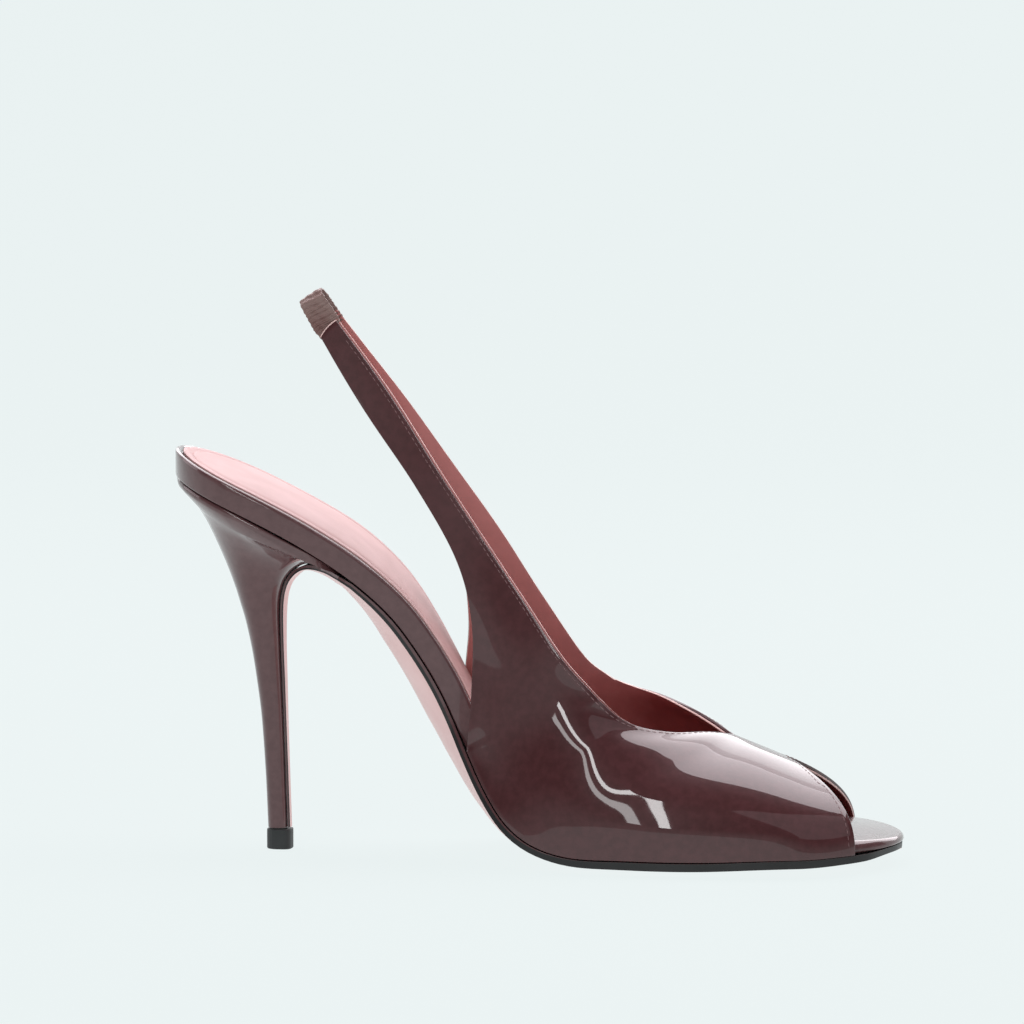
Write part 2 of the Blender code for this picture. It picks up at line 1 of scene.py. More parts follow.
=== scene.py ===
"""Looks of the peep-toe slingback sandal: fine skins, linings, stitches, materials and studio.

Lengths in the tables are millimetres and angles are degrees; MM turns them into metres.
The shoe frame: X runs from the back of the heel to the toe, Y from the inner (medial) side
at minus to the outer (lateral) side at plus, Z up from the floor.
"""
import math

import bmesh
import bpy
import numpy as np
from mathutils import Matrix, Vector


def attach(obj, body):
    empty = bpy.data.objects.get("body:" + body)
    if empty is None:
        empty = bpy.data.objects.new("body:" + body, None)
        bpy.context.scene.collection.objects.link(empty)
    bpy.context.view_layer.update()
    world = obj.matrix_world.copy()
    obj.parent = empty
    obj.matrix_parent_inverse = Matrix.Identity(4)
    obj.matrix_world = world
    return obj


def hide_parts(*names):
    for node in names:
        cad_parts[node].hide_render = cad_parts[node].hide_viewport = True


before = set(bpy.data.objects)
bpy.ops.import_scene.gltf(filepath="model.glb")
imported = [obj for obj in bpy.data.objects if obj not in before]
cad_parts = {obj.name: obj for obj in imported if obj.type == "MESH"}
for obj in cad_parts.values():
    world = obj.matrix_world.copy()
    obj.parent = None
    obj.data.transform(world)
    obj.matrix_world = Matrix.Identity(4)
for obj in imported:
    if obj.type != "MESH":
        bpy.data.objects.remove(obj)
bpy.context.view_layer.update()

MM = 0.001
ORIGIN = np.array((107.7, 1.0, 0.0))    # middle of the whole shoe's floor box, in the shoe frame

# Driving sizes
BACK = (2.2, 116.6)     # X and Z of the footbed's top at the back of the heel
SOLE_LENGTH = 258.3     # along the footbed's top, heel to toe
HEEL_ROUND = 25.0       # length of the rounded back of the sole outline
TOE_ROUND = 27.5        # length of the rounded toe of the sole outline
GAP = 0.3               # clearance between neighbouring pieces
WALL = 1.6              # upper: patent leather and lining
SIDE_GAP = 0.8          # between the footbed's side and the foot of the upper's wall
SOCK_THICK = 0.8
SOCK_INSET = 2.5
SOCK_BED = 0.75         # depth of the bed for the sock, inside the footbed's rim
SOCK_END = 231.0
SOCK_ROUND = 22.0
SEAT_END = 64.0         # where the heel's top ends under the footbed
OUTSOLE_START = 68.0    # from here forward the outsole lies on the footbed
CORNER = {-1: 129.0, 1: 124.0}      # rear lower corners of the upper, along the sole
PEEP = {-1: 246.0, 1: 240.0}        # toe opening's lower corners, along the sole
INNER, OUTER = -1, 1                # medial and lateral sides, as signs of Y

# Sole sections, heel to toe. along: distance on the footbed's top; slope: fall towards the toe;
# middle and half: centre and half width; twist: rise of the inner edge; belly: bulge of the
# outsole's underside; board: thickness of the footbed; edge: thickness of the outsole's edge.
SOLE_COLUMNS = ("along", "slope", "middle", "half", "twist", "belly", "board", "edge")
SOLE_ROWS = (
    (0.0, 24.9, 0.0, 25.5, 0.0, 5.0, 7.0, 1.2),
    (25.0, 25.4, 0.0, 25.5, 0.0, 5.0, 6.6, 1.2),
    (50.0, 30.8, 0.2, 24.8, 0.0, 3.0, 6.5, 1.3),
    (70.0, 43.1, 0.8, 23.2, 0.7, 4.2, 6.5, 1.4),
    (90.0, 57.3, 2.0, 20.4, 1.9, 6.0, 6.5, 1.8),
    (110.0, 62.4, 3.2, 19.2, 2.5, 6.1, 6.5, 1.8),
    (125.0, 62.3, 3.3, 20.7, 2.2, 5.5, 6.5, 1.8),
    (140.0, 55.6, 2.4, 25.5, 1.8, 4.5, 6.3, 1.8),
    (150.0, 44.1, 1.5, 29.5, 1.4, 3.5, 6.0, 1.8),
    (160.0, 19.7, 1.2, 32.4, 1.0, 2.5, 5.6, 1.8),
    (172.0, 1.1, 1.0, 35.0, 0.6, 1.9, 5.2, 2.0),
    (190.0, 0.3, 1.0, 36.3, 0.2, 1.6, 5.0, 2.2),
    (215.0, -2.1, 0.4, 34.5, 0.0, 1.5, 4.8, 2.2),
    (232.0, 0.0, -0.2, 32.2, 0.0, 1.0, 4.5, 2.2),
    (246.0, 2.0, -0.4, 30.0, 0.0, 0.6, 3.4, 2.0),
    (258.3, 4.0, -2.0, 29.0, 0.0, 0.3, 1.9, 1.5),
)

# Heel sections, top to tip: back line, front line, half width, and the thickness there of the
# outsole's tongue that runs down the heel's front.
HEEL_COLUMNS = ("step", "back_x", "back_z", "front_x", "front_z", "half", "tongue")
HEEL_ROWS = (
    (0, 8.6, 99.6, 54.2, 79.4, 24.2, 1.2),
    (1, 11.4, 94.6, 48.7, 81.6, 19.6, 1.2),
    (2, 14.0, 89.0, 43.5, 82.1, 15.2, 1.2),
    (3, 16.7, 82.6, 39.3, 80.9, 11.8, 1.1),
    (4, 19.0, 76.4, 36.2, 78.4, 9.5, 1.0),
    (5, 20.7, 71.0, 34.5, 75.2, 8.2, 0.9),
    (6, 22.3, 65.5, 33.7, 70.0, 7.1, 0.9),
    (7, 24.0, 57.5, 33.6, 60.5, 5.6, 0.8),
    (8, 25.4, 48.5, 33.9, 49.5, 4.6, 0.8),
    (9, 26.7, 38.0, 34.2, 38.0, 3.9, 0.7),
    (10, 27.8, 22.0, 34.7, 22.0, 3.4, 0.7),
    (11, 28.5, 6.2, 35.2, 6.2, 3.4, 0.7),
)
HEEL_POINTS = 28        # corners of a heel section
HEEL_WAIST = (0.435, 0.5)           # where a section is widest, back to front: top, foot
HEEL_SQUARE = (8.0, 3.5)            # how square its front corners are: top, foot
RIM = 2.0               # height of the heel's rim under the footbed
RIM_FRONT = 0.4
# Loops of the rim: share of its height, and inset from the footbed's outline
RIM_ROWS = ((0.0, 0.9), (0.06, 0.6), (0.2, 0.42), (0.5, 0.32), (0.8, 0.45), (1.0, 0.7))
SOLE_CELLS = 8          # cells across the outsole
HEEL_PINCH = 0.14       # how much narrower a top section is behind than in front
BREAST_BELLY = 3.4      # bulge of the outsole where it turns down the heel
HEEL_STEPS = 10         # loops of the heel to each row of its table
TONGUE_STEPS = 8        # loops of the tongue to each row
TONGUE_DRAWN_IN = 0.6   # share of the tongue's width that is taken off down the heel
TONGUE_DYED = 0.4       # share of the edge that is dyed there,
DYED_ARCH = 0.55        # along the arch,
DYED_MORE = 0.43        # and how much more of it is at the forepart

# Rungs of the upper run across the strap and panel, from the lower or rear edge to the topline,
# and from the sole to the ridge of the vamp. Those before the corner start on the rear edge.
STRAP_COLUMNS = ("rung", "low_x", "low_y", "low_z", "top_x", "top_y", "top_z")
STRAP_INNER = (
    (0, 43.9, -4.2, 149.9, 49.4, -4.2, 153.4),
    (2, 58.3, -7.5, 127.3, 65.9, -7.5, 132.1),
    (4, 74.3, -13.0, 106.0, 81.3, -12.6, 110.1),
    (6, 86.5, -16.7, 86.0, 95.6, -15.6, 90.0),
    (8, 91.4, -19.4, 68.7, 107.5, -19.8, 74.1),
    (10, 91.6, -20.6, 47.8, 119.3, -24.0, 58.2),
    (12, 90.5, -20.2, 31.8, 129.2, -24.5, 47.5),
)
STRAP_OUTER = (
    (0, 42.1, 4.2, 152.3, 48.0, 4.2, 155.9),
    (2, 58.0, 8.3, 127.5, 65.6, 8.0, 132.2),
    (4, 71.9, 13.5, 106.3, 79.7, 13.3, 111.3),
    (6, 80.9, 17.2, 88.0, 93.0, 16.4, 92.2),
    (8, 83.7, 21.0, 66.0, 104.6, 21.2, 72.6),
    (10, 81.8, 25.2, 46.0, 116.5, 26.0, 54.4),
    (12, 84.2, 25.8, 33.7, 125.8, 26.6, 48.0),
)
# Rungs of the vamp: distance along the sole, and the topline's or the ridge's point.
VAMP_COLUMNS = ("rung", "along", "top_x", "top_y", "top_z")
VAMP_INNER = (
    (12, 129.0, 129.2, -24.5, 47.5),
    (13, 137.0, 133.5, -22.8, 43.4),
    (14, 147.0, 138.0, -20.7, 40.6),
    (16, 170.0, 148.6, -14.7, 37.9),
    (18, 192.0, 159.1, -5.0, 37.1),
    (19, 203.0, 163.9, 0.0, 35.9),
    (21, 221.0, 171.3, -0.6, 33.2),
    (23, 246.0, 178.9, -1.5, 30.4),
)
VAMP_OUTER = (
    (12, 124.0, 125.8, 26.6, 48.0),
    (13, 133.0, 131.3, 25.2, 46.4),
    (14, 144.0, 137.9, 22.3, 45.1),
    (16, 168.0, 148.9, 14.3, 42.1),
    (18, 191.0, 159.1, 4.3, 38.3),
    (19, 202.0, 163.9, 0.0, 35.9),
    (21, 218.0, 171.3, -0.6, 33.2),
    (23, 240.0, 178.9, -1.5, 30.4),
)
# How each rung bends: stand, how upright it leaves its low end; roll, how level it reaches its
# top; sweep, how much it runs back along the ridge there; full, how square its shoulder is;
# bow, how far it swells outwards; fall, how steeply the outer side falls from the ridge.
BEND_COLUMNS = ("rung", "stand", "roll", "sweep", "full_inner", "full_outer", "bow", "fall")
BEND_ROWS = (
    (0, 0.0, 0.0, 0.0, 0.34, 0.34, 0.2, 0.0),
    (4, 0.0, 0.0, 0.0, 0.34, 0.34, 0.3, 0.0),
    (8, 0.1, 0.0, 0.0, 0.34, 0.34, 0.8, 0.0),
    (12, 0.7, 0.1, 0.0, 0.36, 0.36, 1.4, 0.0),
    (14, 1.0, 0.3, 0.0, 0.40, 0.40, 1.4, 0.0),
    (16, 1.0, 0.6, 0.0, 0.46, 0.46, 1.0, 0.0),
    (18, 1.0, 0.92, 0.0, 0.55, 0.53, 0.7, 0.1),
    (19, 1.0, 1.0, 0.0, 0.57, 0.54, 0.6, 0.15),
    (21, 1.0, 1.0, -0.35, 0.57, 0.54, 0.5, 0.2),
    (23, 1.0, 1.0, -0.95, 0.57, 0.44, 0.3, 0.2),
)
CORNER_RUNG = 12        # where the straps' table ends and the vamp's begins
THROAT_RUNG = 19
END_ROUND = 2.4         # how far the corner of a strap's end is rounded back
RUNG_CELLS = 36
RIDGE_WAY = np.array((0.936, 0.0, -0.351))    # forward and down the ridge of the vamp

BAND_WAY = np.array((-0.53, 0.0, 0.848))    # up and back along the strap
BAND_ACROSS = np.array((0.848, 0.0, 0.53))
ELASTIC_WIDTH = 8.2
ELASTIC_THICK = 1.1
ELASTIC_RISE = 9.0      # from the middle of the inner strap's end to the top of the loop
ELASTIC_TURN = 4.0      # height of the rounded top
ELASTIC_TUCK = 4.4      # length of each leg inside its strap
ELASTIC_OUTER = 3.4     # how much higher the leg in the outer strap starts
ELASTIC_FLARE = 0.1     # how the legs spread, as the strap ends do
ELASTIC_SWELL = 0.9
ELASTIC_FOLD = 0.26     # height of the gathers
ELASTIC_PITCH = 0.16    # from one section of the band to the next
ELASTIC_CELLS = 24
STRAP_GAP = 4.2         # from the middle of the shoe to each strap's end


def cubic(t, step, start, start_slope, end, end_slope):
    """Value part of the way along one step, from the values and slopes at its two ends."""
    near = (1 + 2 * t) * (1 - t) ** 2 * start + t * (1 - t) ** 2 * step * start_slope
    far = t * t * (3 - 2 * t) * end + t * t * (t - 1) * step * end_slope
    return float(near + far)


def column_of(rows, columns, name):
    return [np.array([row[place] for row in rows], float) for place in (0, columns.index(name))]


def smooth(rows, columns, name, at):
    """Column of a table at a position, by a monotone cubic through its rows."""
    x, y = column_of(rows, columns, name)
    step = np.diff(x)
    rise = np.diff(y) / step
    slope = np.zeros(len(x))
    slope[0], slope[-1] = rise[0], rise[-1]
    for k in range(1, len(x) - 1):
        if rise[k - 1] * rise[k] > 0.0:
            before, after = 2 * step[k] + step[k - 1], step[k] + 2 * step[k - 1]
            slope[k] = (before + after) / (before / rise[k - 1] + after / rise[k])
    k = int(np.clip(np.searchsorted(x, at) - 1, 0, len(step) - 1))
    t = (min(max(at, x[0]), x[-1]) - x[k]) / step[k]
    return cubic(t, step[k], y[k], slope[k], y[k + 1], slope[k + 1])


def flowing(rows, columns, name, at):
    """Column of a table at a position, by a cubic that rounds its peaks as well."""
    x, y = column_of(rows, columns, name)
    slope = np.gradient(y, x)
    k = int(np.clip(np.searchsorted(x, at) - 1, 0, len(x) - 2))
    step = x[k + 1] - x[k]
    t = (min(max(at, x[0]), x[-1]) - x[k]) / step
    return cubic(t, step, y[k], slope[k], y[k + 1], slope[k + 1])


def ease(start, end, at):
    t = min(max((at - start) / (end - start), 0.0), 1.0)
    return t * t * (3 - 2 * t)


def unit(vector):
    return np.array(vector, float) / np.linalg.norm(vector)


def sole(name, along):
    return smooth(SOLE_ROWS, SOLE_COLUMNS, name, along)


SPINE_STEP = 0.5
SPINE_ALONG = np.arange(0.0, SOLE_LENGTH + 5.0, SPINE_STEP)
SPINE_SLOPE = np.radians([flowing(SOLE_ROWS, SOLE_COLUMNS, "slope", a) for a in SPINE_ALONG])
SPINE_X = BACK[0] + np.concatenate(([0.0], np.cumsum(np.cos(SPINE_SLOPE[:-1])))) * SPINE_STEP
SPINE_Z = BACK[1] - np.concatenate(([0.0], np.cumsum(np.sin(SPINE_SLOPE[:-1])))) * SPINE_STEP


def slope_at(along):
    return np.interp(along, SPINE_ALONG, SPINE_SLOPE)


def square_up(along):
    """Direction square to the footbed's top."""
    return np.array((math.sin(slope_at(along)), 0.0, math.cos(slope_at(along))))


def on_sole(along, across, up):
    """Point at a place on the footbed's top, raised square to it."""
    slope = slope_at(along)
    lean = -sole("twist", along) * (across - sole("middle", along)) / sole("half", along)
    lift = up + lean
    x = np.interp(along, SPINE_ALONG, SPINE_X) + math.sin(slope) * lift
    z = np.interp(along, SPINE_ALONG, SPINE_Z) + math.cos(slope) * lift
    return np.array((x, across, z))


def outline_across(along, side, rounds=(HEEL_ROUND, TOE_ROUND), end=SOLE_LENGTH):
    """Y of the footbed's outline, rounded at both ends."""
    width = sole("half", along)
    if along < rounds[0]:
        width *= math.sqrt(max(1 - ((rounds[0] - along) / rounds[0]) ** 2, 0.0))
    if along > end - rounds[1]:
        width *= math.sqrt(max(1 - ((along - end + rounds[1]) / rounds[1]) ** 2, 0.0))
    return sole("middle", along) + side * width


def edge_place(along, side, out, rounds=(HEEL_ROUND, TOE_ROUND), end=SOLE_LENGTH):
    """Along and across of a point pushed out from the outline, square to it."""
    step = 0.05
    before, after = max(along - step, 0.0), min(along + step, end)
    run = after - before
    rise = outline_across(after, side, rounds, end) - outline_across(before, side, rounds, end)
    normal = unit((-rise * side, run * side))
    return along + normal[0] * out, outline_across(along, side, rounds, end) + normal[1] * out


def upright_shift(along, up):
    """Forward shift that makes the sides stand upright, not square to the seat, at the back."""
    return -up * math.tan(slope_at(along)) * (1 - ease(15, 45, along))


def stations(start, end, rounds, pitch=6.0, cap_steps=7):
    """Places along the sole, close together where the outline turns round its ends."""
    places = [start + rounds[0] * (1 - math.cos(math.radians(90 * k / cap_steps)))
              for k in range(cap_steps)]
    middle_start, middle_end = start + rounds[0], end - rounds[1]
    count = round((middle_end - middle_start) / pitch)
    places += [middle_start + (middle_end - middle_start) * k / count for k in range(count)]
    places += [middle_end + rounds[1] * math.sin(math.radians(90 * k / cap_steps))
               for k in range(cap_steps + 1)]
    return places


def ring_height(ring, along):
    return ring[2] - ring[1] * sole("board", along)


def ring_ids(loop):
    """Corners of a loop in order round the sole, up one side and back down the other."""
    inner = [ref for k, side, place, ref in loop if side == INNER]
    outer = [ref for k, side, place, ref in loop if side == OUTER]
    return inner + outer[::-1]


def overhang(along, side):
    """How far the outsole's edge stands out from the footbed: it carries the upper's wall."""
    covered = ease(CORNER[side] - 10.0, CORNER[side], along)
    covered -= ease(PEEP[side] + 2.0, PEEP[side] + 10.0, along)
    toe = ease(SOLE_LENGTH - TOE_ROUND, SOLE_LENGTH - 12.0, along)
    return 0.4 + 0.5 * toe + covered * (WALL + SIDE_GAP - 0.3 - 0.5 * toe)


def heel_value(name, step):
    return flowing(HEEL_ROWS, HEEL_COLUMNS, name, step)


def front_normal(step):
    """Direction from the heel's front line out of the shoe, in X and Z."""
    before, after = max(step - 0.02, 0.0), min(step + 0.02, HEEL_ROWS[-1][0])
    run = [heel_value(name, after) - heel_value(name, before) for name in ("front_x", "front_z")]
    return unit((-run[1], run[0]))


def breast_lean(step, y):
    """Rise that brings the top of the heel's front to the twist of the footbed over it."""
    return -sole("twist", SEAT_END) * y / sole("half", SEAT_END) * ease(2.0, 0.0, step)


def across_shape(depth):
    """Bulge of the outsole at each of its cells, from one edge to the other."""
    return [depth * (1 - abs(2 * c / SOLE_CELLS - 1) ** 2.4) for c in range(1, SOLE_CELLS)]


def tongue_loop(step):
    """Section of the outsole where it runs down the heel's front."""
    normal = front_normal(step)
    outer = np.array((heel_value("front_x", step), heel_value("front_z", step)))
    inner = outer - normal * heel_value("tongue", step)
    half = heel_value("half", step) * 0.97
    middle = 0.5 * ease(5.0, 0.0, step)
    ys = [middle + half * (2 * c / SOLE_CELLS - 1) for c in range(SOLE_CELLS + 1)]
    bulge = [0.0] + across_shape(BREAST_BELLY * ease(3.5, 0.0, step)) + [0.0]
    loop = [(inner[0], y, inner[1] + breast_lean(step, y)) for y in (ys[0], ys[-1])]
    for c in range(SOLE_CELLS, -1, -1):
        x, z = outer + normal * bulge[c]
        loop.append((x, ys[c], z + breast_lean(step, ys[c])))
    return loop


def sole_loop(along):
    """Section of the outsole under the footbed; its lowest part is flat on the floor."""
    top = -sole("board", along) - GAP
    low = top - sole("edge", along)
    left, right = (edge_place(along, side, overhang(along, side)) for side in (INNER, OUTER))
    bulge = [0.0] + across_shape(sole("belly", along)) + [0.0]
    loop = [on_sole(*left, top), on_sole(*right, top)]
    for c in range(SOLE_CELLS, -1, -1):
        place = [left[i] + (right[i] - left[i]) * c / SOLE_CELLS for i in (0, 1)]
        loop.append(on_sole(*place, low - bulge[c]))
    return [(x, y, max(z, 0.0)) for x, y, z in loop]


def section(step):
    """Heel section from back (0) to front (1): round behind, with rounded corners in front."""
    low = ease(0, 6, step)
    centre = HEEL_WAIST[0] + (HEEL_WAIST[1] - HEEL_WAIST[0]) * low
    power = 2 / (HEEL_SQUARE[0] + (HEEL_SQUARE[1] - HEEL_SQUARE[0]) * low)
    shape = []
    for k in range(HEEL_POINTS):
        c = math.cos(2 * math.pi * k / HEEL_POINTS)
        s = math.sin(2 * math.pi * k / HEEL_POINTS)
        if c < 0:
            shape.append((centre + centre * c, s))
        else:
            shape.append((centre + (1 - centre) * c ** power, math.copysign(abs(s) ** power, s)))
    return shape


def rim_loop(share, inset):
    """One loop of the heel's rim, which follows the footbed's outline."""
    loop = []
    for u, y in section(0):
        along = u * SEAT_END
        side = INNER if y < 0 else OUTER
        width = abs(outline_across(along, side) - sole("middle", along)) - inset
        across = sole("middle", along) + width * (side if u < HEEL_WAIST[0] else y)
        along += inset * (1 - 2 * u)
        height = RIM + (RIM_FRONT - RIM) * ease(20, 50, along)
        up = -sole("board", along) - GAP - share * height
        loop.append(on_sole(along + upright_shift(along, up), across, up))
    return loop


def heel_loop(step):
    """Heel section at a step down its back and front lines; the outsole's tongue lies in front."""
    back = np.array((heel_value("back_x", step), heel_value("back_z", step)))
    front = np.array((heel_value("front_x", step), heel_value("front_z", step)))
    front -= front_normal(step) * (heel_value("tongue", step) + GAP)
    loop = []
    for u, y in section(step):
        x, z = back + (front - back) * u
        across = heel_value("half", step) * y * (1 - HEEL_PINCH * (1 - u) * ease(2.5, 0.0, step))
        loop.append((x, across, z + breast_lean(step, across) * u))
    return loop


def rung_ends(rung, side):
    """Low and top ends of one rung of the upper's outer face."""
    strap, vamp = (STRAP_INNER, VAMP_INNER) if side == INNER else (STRAP_OUTER, VAMP_OUTER)
    if rung < CORNER_RUNG:
        ends = [flowing(strap, STRAP_COLUMNS, c, rung) for c in STRAP_COLUMNS[1:]]
        return np.array(ends[:3]), np.array(ends[3:])
    along = flowing(vamp, VAMP_COLUMNS, "along", rung)
    place = edge_place(along, side, WALL + SIDE_GAP)
    low = on_sole(*place, -sole("board", along))
    top = np.array([flowing(vamp, VAMP_COLUMNS, c, rung) for c in VAMP_COLUMNS[2:]])
    return low, top


def rung_points(rung, side):
    """Points of one rung, low end to top, bent as its row says."""
    low, top = rung_ends(rung, side)
    bend = {c: smooth(BEND_ROWS, BEND_COLUMNS, c, rung) for c in BEND_COLUMNS[1:]}
    chord = unit(top - low)
    vamp = VAMP_INNER if side == INNER else VAMP_OUTER
    along = smooth(vamp, VAMP_COLUMNS, "along", max(rung, CORNER_RUNG))
    upright = square_up(along)
    fall = bend["fall"] if side == OUTER else 0.0
    level = unit(np.array((0.0, -side, fall)) + bend["sweep"] * RIDGE_WAY)
    leave = unit(chord * (1 - bend["stand"]) + upright * bend["stand"])
    reach = unit(chord * (1 - bend["roll"]) + level * bend["roll"])
    full = bend["full_inner" if side == INNER else "full_outer"]
    a = low + leave * full * max(np.dot(top - low, leave), 1.0)
    b = top - reach * full * max(np.dot(top - low, reach), 1.0)
    points = []
    for k in range(RUNG_CELLS + 1):
        t = k / RUNG_CELLS
        point = (1 - t) ** 3 * low + 3 * t * (1 - t) ** 2 * a
        point = point + 3 * t * t * (1 - t) * b + t ** 3 * top
        point[1] += side * bend["bow"] * 4 * t * (1 - t)
        corner = (1 - t) ** 3 + 0.3 * t ** 4
        point -= BAND_WAY * END_ROUND * corner * max(1 - 1.5 * rung, 0.0)
        points.append(point)
    return points


# Camera, seen from the inner side and a little towards the toe
CAMERA_AZIMUTH = 10.0
CAMERA_ELEVATION = 4.5
CAMERA_DISTANCE = 1.5
CAMERA_TARGET = (-0.0077, -0.001, 0.0983)
CAMERA_LENS = 184.7

# Layers and trimmings
SKIN = 0.95             # patent leather, the rest of the wall is lining
LINING_SHOWS = 0.5      # how far the lining's edge stands past the patent's
STITCH_INSET = 1.15     # from an edge to its row of stitches
STITCH_PITCH = 1.9
STITCH_LENGTH = 1.35
STITCH_THICK = 0.26
STITCH_PROUD = 0.02     # how far a stitch's middle stands over the leather
STITCH_SIZES = (0.25, 0.8, 1.0, 0.8, 0.25)      # thickness along a stitch, as a share
SOCK_STITCH = (2.4, 1.8, 0.34)                  # pitch, length and thickness
LAYER_GAP = 0.02        # from the patent leather to the lining
EDGE_LINE = 0.42        # thickness of the pale line round a strap's end, the lining's edge in its pale colour with a painted highlight,
EDGE_LINE_OUT = 0.12    # how far past the end it lies,
EDGE_LINE_IN = 0.16     # and how deep
TINT_SPREAD = (0.35, 0.65)      # where in a noise the second colour comes in, and is whole
EDGE_ROUND = 0.4
RUNG_LIST = np.arange(0, 23.01, 1 / 8)
THROAT_ROW = int(np.argmin(abs(RUNG_LIST - THROAT_RUNG)))
SMOOTHING_PASSES = 30
EDGE_REACH = 6.0        # how far from an edge the smoothing and the creases give way to it
STRAP_FLAT = 0.6        # share of the straps' bow that is taken out
STRAP_TWIST = 9.5       # how much further back than in the solids the straps face
GROOVE = 0.16           # depth of the sock's stitched groove
PAD = 0.5               # fullness of the sock
DOME = 0.8              # fullness of the footbed ahead of the sock
TOE_TUCK = 1.1          # the sole's edge is this far inside the solid's at the toe
ROUND_SIX = [math.tau * k / 6 for k in range(6)]

# Edge of the footbed: its roll under the sock and the most it rolls ahead of it, then the rings
# inside the roll, each as distance in and height, under the sock and ahead of it.
ROLL_BACK = 1.1
ROLL_AHEAD = 3.3
ROLL_STEPS = 8
INNER_RINGS = (
    ((1.6, -0.08), (3.7, 0.04)),
    ((1.95, -0.35), (4.1, 0.07)),
    ((2.1, -SOCK_BED), (4.5, 0.10)),
)

# Soft creases in the upper: side, X and Z of the start and of the end, height, width
CREASES = (
    (INNER, 60.0, 36.5, 164.0, 38.0, 1.5, 12.0),
    (INNER, 158.0, 34.0, 176.0, -10.0, 1.7, 18.0),
    (INNER, 112.0, 34.0, 176.0, -6.0, 1.45, 11.0),
    (INNER, 92.0, 76.0, 124.0, 32.0, 0.6, 10.0),
    (OUTER, 60.0, 36.5, 164.0, 38.0, 1.2, 12.0),
    (OUTER, 110.0, 34.0, 174.0, -6.0, 0.9, 11.0),
    (OUTER, 154.0, 34.0, 172.0, -10.0, 1.2, 18.0),
)

# Soft lights, in metres: name, place, aim, size, strength, and whether matt surfaces see it
LIGHT_TINT = (1.0, 0.945, 0.98)
LIGHTS = (
    ("overhead", (0.1, 0.52, 1.5), (0.1, 0.52, 0.0), (2.4, 1.04), 4.6, True),
    ("behind", (0.1, 1.33, 1.02), (0.1, 0.0, 0.05), (2.6, 1.12), 2.75, False),
    ("toeward", (0.95, -0.80, 1.05), (0.0, 0.0, 0.05), (1.3, 1.1), 0.55, False),
    ("heelward", (-1.5, 0.1, 0.75), (0.0, 0.0, 0.1), (1.1, 1.2), 1.6, False),
)
# Tall strips on the camera's side: name, azimuth, strength
STRIPS = (("strip_left", -14.5, 6.0), ("strip_right", -5.5, 12.0))
STRIP_AWAY = 1.3
STRIP_HIGH = 1.08
STRIP_SIZE = (0.085, 1.6)
WORLD_GREYS = (0.42, 0.08)      # low in the world, and high


def add_object(name, data):
    made = bpy.data.objects.new(name, data)
    bpy.context.scene.collection.objects.link(made)
    return made


def place_camera():
    data = bpy.data.cameras.new("camera")
    camera = add_object("camera", data)
    azimuth, elevation = math.radians(CAMERA_AZIMUTH), math.radians(CAMERA_ELEVATION)
    flat = math.cos(elevation)
    back = Vector((math.sin(azimuth) * flat, -math.cos(azimuth) * flat, math.sin(elevation)))
    camera.location = Vector(CAMERA_TARGET) + back * CAMERA_DISTANCE
    camera.rotation_euler = back.to_track_quat("Z", "Y").to_euler()
    data.sensor_width = 36.0
    data.lens = CAMERA_LENS
    data.clip_start = 0.01
    bpy.context.scene.camera = camera
    bpy.context.scene.view_settings.view_transform = "Standard"


def new_material(name):
    made = bpy.data.materials.new(name)
    made.use_nodes = True
    return made, made.node_tree.nodes["Principled BSDF"]


def settle(node, **values):
    """Sets sockets by name, with _ for each space."""
    for name, value in values.items():
        node.inputs[name.replace("_", " ")].default_value = value


def link(made, output, target):
    made.node_tree.links.new(output, target)


def noise(made, scale, detail):
    nodes = made.node_tree.nodes
    place = nodes.new("ShaderNodeTexCoord")
    texture = nodes.new("ShaderNodeTexNoise")
    settle(texture, Scale=scale, Detail=detail)
    link(made, place.outputs["Object"], texture.inputs["Vector"])
    return texture


def tint(made, shader, texture, low, high):
    """Base colour that wanders between two near colours."""
    ramp = made.node_tree.nodes.new("ShaderNodeValToRGB")
    ramp.color_ramp.elements[0].position, ramp.color_ramp.elements[1].position = TINT_SPREAD
    ramp.color_ramp.elements[0].color = (*low, 1.0)
    ramp.color_ramp.elements[1].color = (*high, 1.0)
    link(made, texture.outputs["Fac"], ramp.inputs["Fac"])
    link(made, ramp.outputs["Color"], shader.inputs["Base Color"])


def add_bump(made, shader, texture, strength, distance, sockets=("Normal",), before=None):
    bump = made.node_tree.nodes.new("ShaderNodeBump")
    settle(bump, Strength=strength, Distance=distance)
    link(made, texture.outputs["Fac"], bump.inputs["Height"])
    if before:
        link(made, before.outputs["Normal"], bump.inputs["Normal"])
    for socket in sockets:
        link(made, bump.outputs["Normal"], shader.inputs[socket])
    return bump


def patent(name, low, high, wave=0.35):
    """Patent leather: grained hide under a clear, slightly wavy lacquer."""
    made, shader = new_material(name)
    tint(made, shader, noise(made, 420.0, 3.0), low, high)
    settle(shader, Roughness=0.38, Specular_IOR_Level=0.15)
    settle(shader, Coat_Weight=1.0, Coat_Roughness=0.035, Coat_IOR=1.52)
    add_bump(made, shader, noise(made, 1500.0, 3.0), 0.25, 0.00008)
    add_bump(made, shader, noise(made, 55.0, 1.0), wave, 0.0006, ("Coat Normal",))
    return made


def hide(name, low, high, roughness, grain=0.35, scale=1800.0):
    """Bare leather with fine grain and faint clouding."""
    made, shader = new_material(name)
    tint(made, shader, noise(made, 90.0, 4.0), low, high)
    settle(shader, Roughness=roughness, Specular_IOR_Level=0.4)
    broad = add_bump(made, shader, noise(made, 300.0, 2.0), 0.15, 0.0002, ())
    add_bump(made, shader, noise(made, scale, 4.0), grain, 0.00012, before=broad)
    return made


